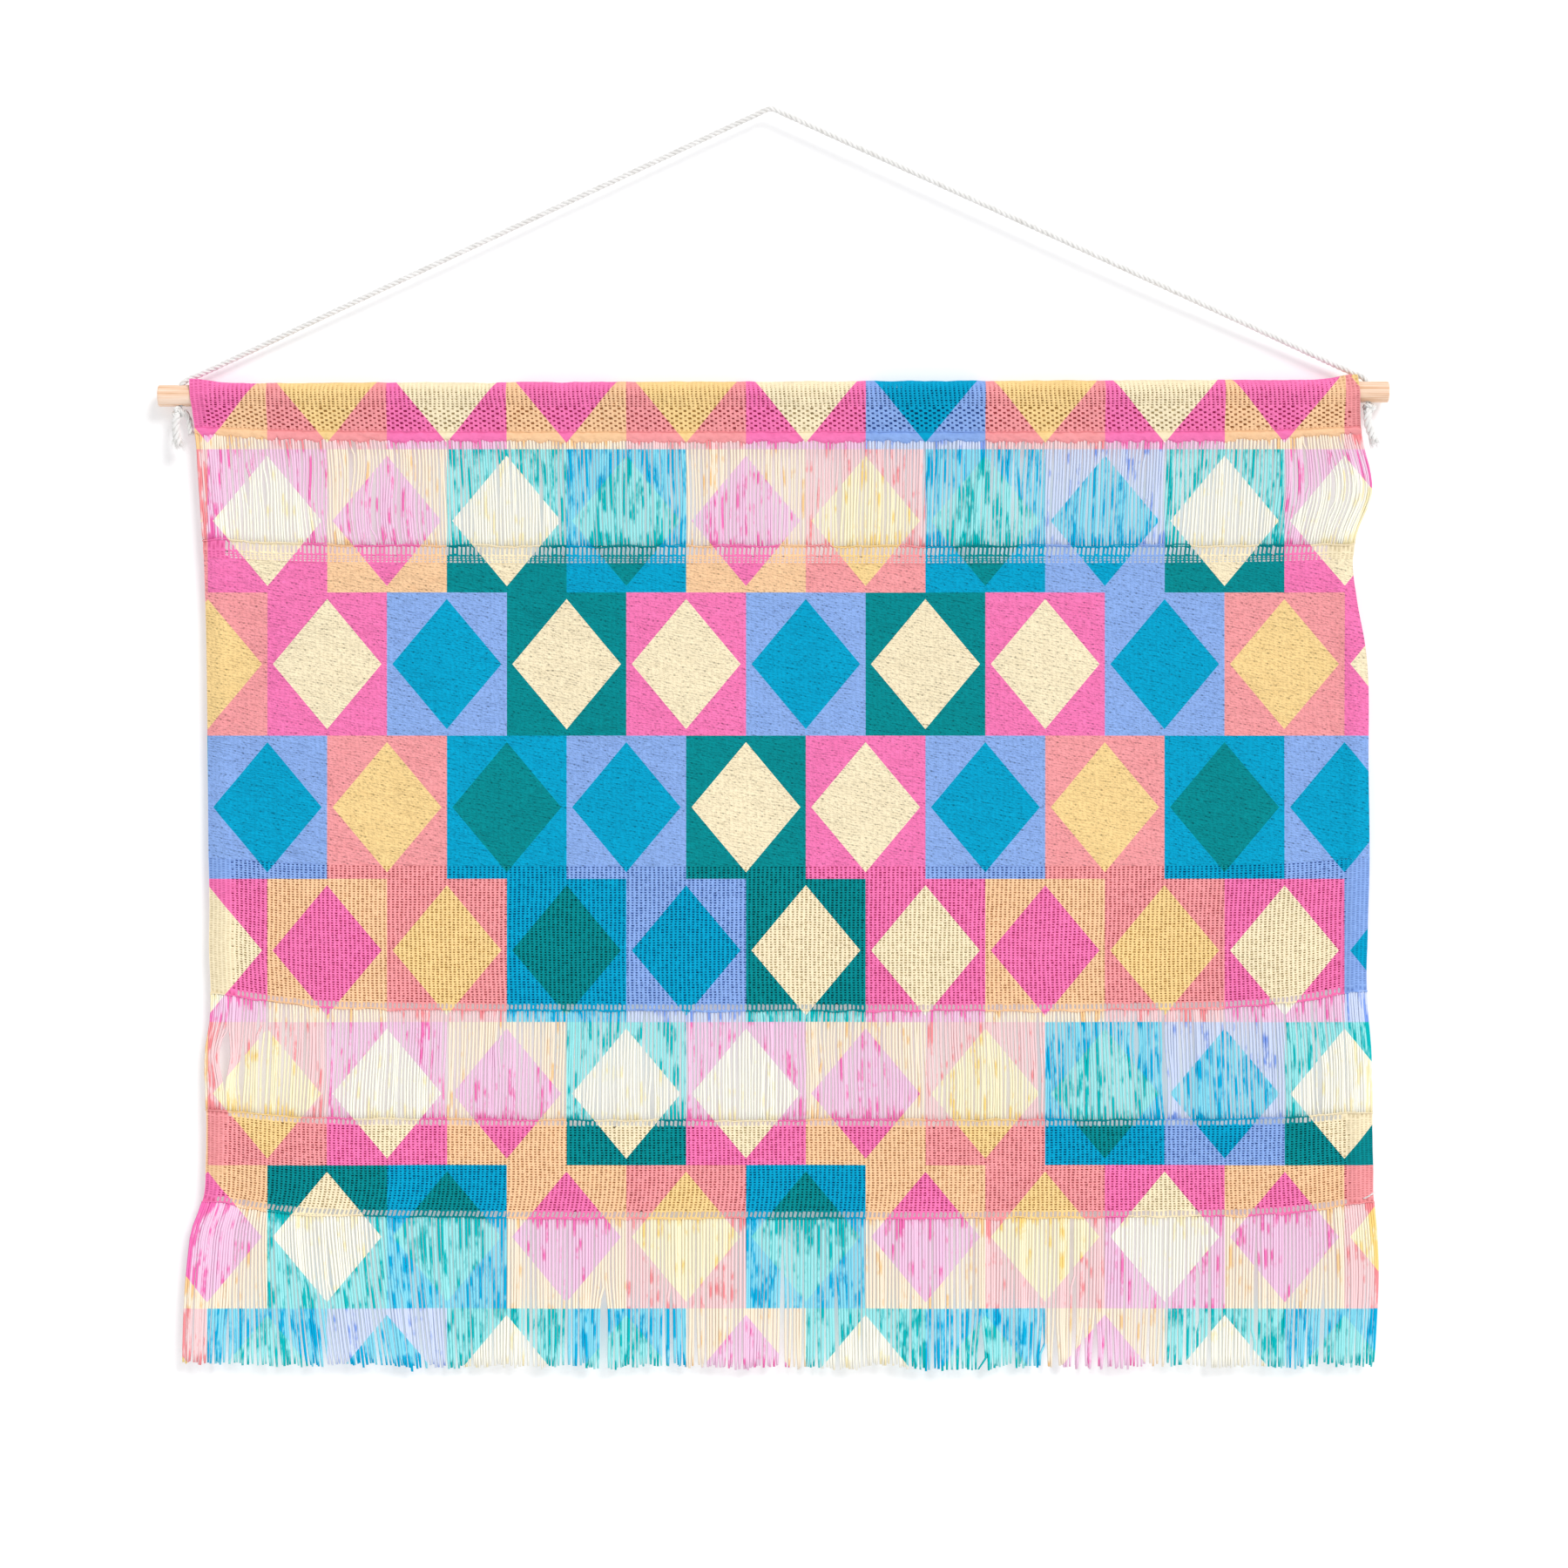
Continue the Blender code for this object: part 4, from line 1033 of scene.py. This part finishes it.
def string_roots(draw, left_crowd=0.0):
    """Root places of the strings as shares of the width, a little closer beside the selvages."""
    place = np.linspace(0.0, 1.0, 4001)
    crowd = 1.0 + STRAND_EDGE_CROWD * (1.0 - smoothstep(0.0, 2.0 * STRAND_EDGE_REACH, edge_distance(place)))
    crowd = np.cumsum(crowd + left_crowd * (1.0 - smoothstep(0.08, 0.14, place * CLOTH_WIDTH)))
    crowd = (crowd - crowd[0]) / (crowd[-1] - crowd[0])
    turns = np.cumsum(draw.uniform(size=STRANDS) < STRAND_PAIR_CHANCE) % 2
    gaps = 1.0 + STRAND_PAIRING * np.where(turns == 0, 1.0, -1.0) + draw.normal(0.0, STRAND_JITTER, STRANDS)
    gaps = gaps.clip(0.45, 1.9)
    return np.interp((np.cumsum(gaps) - 0.5 * gaps) / gaps.sum(), crowd, place)[:, None]


def strings_across(u, drop, held):
    """Straight inside the cloth, following the outline beside the selvages.

    Held strings run from their place at the first drop to that at the last. Free ones hang plumb.
    """
    t = (drop - drop[:, :1]) / (drop[:, -1:] - drop[:, :1])
    start = across(u, drop[:, :1])
    straight = lerp(start, across(u, drop[:, -1:]), t) if held else start
    return lerp(straight, across(u, drop), np.exp(-(edge_distance(u) / EDGE_FLARE_REACH) ** 2))


def parted(x, t, partings):
    """Sideways shift that opens the partings between strings."""
    shift = np.zeros(np.broadcast_shapes(x.shape, t.shape))
    for middle, half, reach, start, end in partings:
        wander = PARTING_WANDER * reach * np.sin(3.2 * t + 90.0 * middle)
        away = (x - middle - wander) / reach
        grown = smoothstep(start, start + PARTING_SOFTNESS, t)
        grown = grown * (1.0 - smoothstep(end - PARTING_SOFTNESS, end, t))
        side = np.where(away >= 0.0, 1.0, -1.0)
        shift = shift + half * side * np.exp(-away ** 2) * grown
    return shift


def selvage_ink(roots):
    """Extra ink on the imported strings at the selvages."""
    return SELVAGE_INK * bump(edge_distance(roots), 0.0, SELVAGE_INK_REACH)


def string_mesh(name, cad_node, x, depth, drop, radii, near_thread, material, draw):
    points = np.stack([x, depth, -drop], axis=-1)
    verts, faces = tube_parts(points, radii, STRAND_SIDES, X_AXIS, Y_AXIS)
    own = np.repeat(draw.uniform(0.0, 1.0, STRANDS), STRAND_STEPS * STRAND_SIDES)
    near = np.repeat(near_thread.ravel(), STRAND_SIDES)
    turn = TURN * np.arange(STRAND_SIDES) / STRAND_SIDES
    # painted shade at each string's left and right sides and at its back, kept in the attribute side
    side = np.maximum(2.0 * np.abs(np.cos(turn)) - 1.0, BACK_SHADE * (np.sin(turn) > 0.1))
    piece(name, cad_node, "printed_strings", material, verts, faces, own=own, near_thread=near,
          side=np.tile(side, STRANDS * STRAND_STEPS))


def make_strings(name, cad_node, lines, top_shift, sway, bend, partings, layer, material, draw):
    """Band of strings held at a line above and a line below."""
    u = string_roots(draw)
    t = np.linspace(0.0, 1.0, STRAND_STEPS)
    width = u * CLOTH_WIDTH
    inner = np.sin(math.pi * t)
    drift = value_noise(width / 0.020, t * 1.6 + 9.0, layer)
    drift = (drift + 0.7 * value_noise(width / 0.055, t * 1.3 + 2.0, layer + 1)) * inner
    own = draw.normal(0.0, 0.22, (STRANDS, 1)) * inner
    own = own + draw.normal(0.0, 0.16, (STRANDS, 1)) * np.sin(TURN * t)
    own = own + draw.normal(0.0, 0.06, (STRANDS, 1)) * np.sin(2.0 * TURN * t)
    drop = lerp(line_drop(lines[0], u) + top_shift, line_drop(lines[1], u), t)
    x = strings_across(u, drop, True)
    lively = SWAY_BASE + SWAY_LEFT * bump(width, 0.065, 0.08)
    s_bend = bend * np.sin(TURN * t) * bump(width, BEND_PLACE, BEND_REACH)
    x = x + sway * (lively * drift + own) + s_bend + parted(x, t, partings)
    depth = cloth_depth(u, drop) + draw.uniform(-0.7, 0.7, (STRANDS, 1)) * MM * inner ** 0.5
    radii = STRAND_RADIUS * draw.uniform(0.78, 1.12, (STRANDS, 1))
    radii = radii * draw.normal(1.0, 0.04, (STRANDS, STRAND_STEPS))
    near_thread = smoothstep(0.86, 1.0, t) + 0.6 * smoothstep(0.14, 0.0, t) + selvage_ink(u)
    string_mesh(name, cad_node, x, depth, drop, radii, near_thread, material, draw)


def make_fringe(material, draw):
    """Cut strings hanging free, uneven at their ends."""
    u = string_roots(draw, FRINGE_LEFT_CROWD)
    t = np.linspace(0.0, 1.0, STRAND_STEPS)
    width = u * CLOTH_WIDTH
    uneven = draw.normal(0.0, 1.1, (STRANDS, 1)) * MM + value_noise(width / 0.03, 0.0, 41) * 1.8 * MM
    drop = lerp(line_drop(FRINGE_THREAD, u), line_drop(FRINGE_END, u) + uneven, t)
    lean = LEFT_LEAN * smoothstep(0.030, 0.115, width) * smoothstep(0.27, 0.15, width)
    lean = lean - RIGHT_LEAN * bump(width, 0.83, 0.06)
    clump = value_noise(width / 0.020, 3.0, 42) * 2.2 * MM + value_noise(width / 0.0075, 7.0, 43) * 1.2 * MM
    own = draw.normal(0.0, 0.50, (STRANDS, 1)) * MM
    wave = draw.normal(0.0, 0.35, (STRANDS, 1)) * MM * t
    wave = wave * np.sin(TURN * (t + draw.uniform(0, 1, (STRANDS, 1))))
    x = strings_across(u, drop, False)
    x = x + (lean + clump + own) * t ** 1.3 + wave + parted(x, t, FRINGE_PARTINGS)
    depth = cloth_depth(u, drop) + draw.uniform(-0.8, 0.8, (STRANDS, 1)) * MM * t
    radii = FRINGE_RADIUS * draw.uniform(0.80, 1.12, (STRANDS, 1)) * (1.0 - 0.25 * smoothstep(0.95, 1.0, t))
    near_thread = 0.8 * smoothstep(0.10, 0.0, t) + 0.5 * smoothstep(0.93, 1.0, t) + selvage_ink(u)
    string_mesh("cut_fringe", "bottom_fringe", x, depth, drop, radii, near_thread, material, draw)


THREAD_RADIUS = 0.66 * MM
THREAD_POINTS = 720
THREAD_SIDES = 5


def make_weft_thread(name, cad_node, line, layer, material):
    """Weft thread that catches the strings, wavy and over and under."""
    u = np.linspace(-0.0005, 1.0005, THREAD_POINTS)
    width = u * CLOTH_WIDTH
    drop = line_drop(line, u) + 1.1 * MM * value_noise(width / 0.018, 0.0, layer)
    drop = drop + 0.6 * MM * value_noise(width / 0.007, 2.0, layer)
    over = 0.6 * MM * np.cos(TURN * width / COLUMN_PITCH)
    depth = cloth_depth(np.clip(u, 0.0, 1.0), drop) - over - 0.9 * MM
    points = np.stack([across(u, drop), depth, -drop], axis=-1)[None]
    radii = np.full((1, THREAD_POINTS), THREAD_RADIUS)
    verts, faces = tube_parts(points, radii, THREAD_SIDES, Y_AXIS, Z_AXIS)
    piece(name, cad_node, "printed_strings", material, verts, faces, own=np.ones(len(verts)))


LOOSE_END = ((0.5262, -0.0016, -0.9655), (0.5290, -0.0034, -0.9640), (0.5318, -0.0046, -0.9622),
             (0.5342, -0.0046, -0.9606), (0.5362, -0.0040, -0.9602))


def make_loose_end(material):
    """Cut end of a weft thread that stands out at the right selvage above the fringe."""
    verts, faces = plied(smooth_route(LOOSE_END, 1.0 * MM), *LOOSE_LAY)
    piece("loose_weft_end", "lower_panel", "rope", material, verts, faces)


WALL_DEPTH = 0.0145
WALL_HALF = 2.6
WALL_HEAD = 1.6
FLOOR_HEIGHT = -1.9
FLOOR_HALF = 8.0
WORLD_STRENGTH = 0.62
# name, strength, size in degrees, turn in degrees
LIGHTS = (("key", 1.65, 22.0, (56.0, 0.0, 32.0)), ("back_fill", 0.20, 40.0, (70.0, 0.0, 180.0)))


def add_plane(name, corners, inputs):
    """Stage plane with a plain material."""
    nodes = Nodes(name)
    nodes.fill(nodes.shader, inputs)
    mesh = bpy.data.meshes.new(name)
    mesh.from_pydata(corners, [], [(0, 1, 2, 3)])
    mesh.materials.append(nodes.material)
    thing = linked(name, mesh)
    return thing, nodes


def add_studio():
    corners = [(x, WALL_DEPTH, z) for x, z in ((-WALL_HALF, FLOOR_HEIGHT), (WALL_HALF, FLOOR_HEIGHT),
                                               (WALL_HALF, WALL_HEAD), (-WALL_HALF, WALL_HEAD))]
    wall, nodes = add_plane("studio_wall", corners, {
        "Base Color": grey(0.80), "Roughness": 1.0, "Specular IOR Level": 0.0,
        "Emission Color": (0.97, 0.97, 1.0, 1.0), "Emission Strength": 0.27})
    wall.visible_shadow = False
    # clear from its back
    back = nodes.add("NewGeometry")["Backfacing"]
    clear = nodes.add("BsdfTransparent")[0]
    surface = nodes.add("MixShader", {0: back, 1: nodes.shader.outputs[0], 2: clear})[0]
    nodes.link(surface, nodes.tree.nodes["Material Output"].inputs["Surface"])
    corners = [(x, y, FLOOR_HEIGHT) for x, y in ((-FLOOR_HALF, -FLOOR_HALF), (FLOOR_HALF, -FLOOR_HALF),
                                                 (FLOOR_HALF, FLOOR_HALF), (-FLOOR_HALF, FLOOR_HALF))]
    add_plane("studio_floor", corners, {"Base Color": grey(0.88), "Roughness": 0.9})
    world = bpy.data.worlds.new("studio")
    world.use_nodes = True
    background = world.node_tree.nodes["Background"]
    background.inputs["Color"].default_value = grey(1.0)
    background.inputs["Strength"].default_value = WORLD_STRENGTH
    bpy.context.scene.world = world
    for name, strength, size, turn in LIGHTS:
        light = bpy.data.lights.new(name, "SUN")
        light.energy = strength
        light.angle = math.radians(size)
        linked(name, light).rotation_euler = [math.radians(angle) for angle in turn]
    bpy.context.scene.view_settings.view_transform = "Standard"


def dress_cord(rope, draw):
    cord = make_cord(rope)
    knots = [
        make_knot("stopper_knot_left", "knot_left", -0.5262, 0.2672, 5.8 * MM, -1.0, rope),
        make_knot("stopper_knot_right", "knot_right", 0.5314, 0.2638, 6.0 * MM, 1.0, rope),
    ]
    tails = [
        make_tail("end_left", "tail_left", TAIL_LEFT, 3.6 * MM, 34, 6.0 * MM, rope, draw),
        make_tail("end_left_short", "tail_left_short", TAIL_LEFT_SHORT, 2.5 * MM, 16, 1.6 * MM, rope, draw),
        make_tail("end_right", "tail_right", TAIL_RIGHT, 3.7 * MM, 34, 6.0 * MM, rope, draw),
    ]
    path = smooth_route(CORD_ROUTE, 6.0 * MM)


def dress_cloth(draw):
    weave = cloth_material("printed_weave", False)
    strings = string_material()
    pocket, pocket_run = make_pocket(weave, draw)
    strip = make_header_strip(weave)
    make_strings("upper_band_strings", "upper_strings", (HEADER_FOOT, UPPER_THREAD), -2.2 * MM, 1.7 * MM,
                 1.5 * MM, UPPER_PARTINGS, 31, strings, draw)
    slots, = make_mesh_band(["panel_slots"], "main_panel", (UPPER_THREAD, WEAVE_TOP), PANEL_CLOSED_ENDS,
                            weave, draw, first_slot=9.0 * MM, kind=CLEAR_HOLE)
    closed = make_closed_weave(cloth_material("printed_dense_weave", True))
    names = ["panel_mesh_head", "panel_mesh"]
    mesh_head, mesh = make_mesh_band(names, "main_panel", (MESH_TOP, PANEL_THREAD), PANEL_CLOSED_ENDS, weave,
                                     draw, last_slot=6.2 * MM)
    make_strings("lower_band_strings", "lower_strings", (PANEL_THREAD, LOWER_THREAD), 0.0, 1.6 * MM, 0.5 * MM,
                 LOWER_PARTINGS, 35, strings, draw)
    lower, = make_mesh_band(["lower_mesh"], "lower_panel", (LOWER_THREAD, FRINGE_THREAD), LOWER_CLOSED_ENDS,
                            weave, draw, first_slot=6.0 * MM, last_slot=6.2 * MM)
    make_fringe(strings, draw)
    threads = (("upper_weft", "upper_strings", UPPER_THREAD), ("panel_weft", "lower_strings", PANEL_THREAD),
               ("lower_weft", "lower_strings", LOWER_THREAD), ("fringe_weft", "bottom_fringe", FRINGE_THREAD))
    for k, (name, cad_node, line) in enumerate(threads):
        make_weft_thread(name, cad_node, line, 51 + k, weave)


def build():
    draw = np.random.default_rng(SEED)
    add_camera()
    rope = rope_material()
    dress_cord(rope, draw)
    dress_cloth(draw)
    make_loose_end(rope)
    dowel = bpy.data.objects["dowel"]
    dowel.data.materials.clear()
    dowel.data.materials.append(wood_material())
    add_studio()


build()
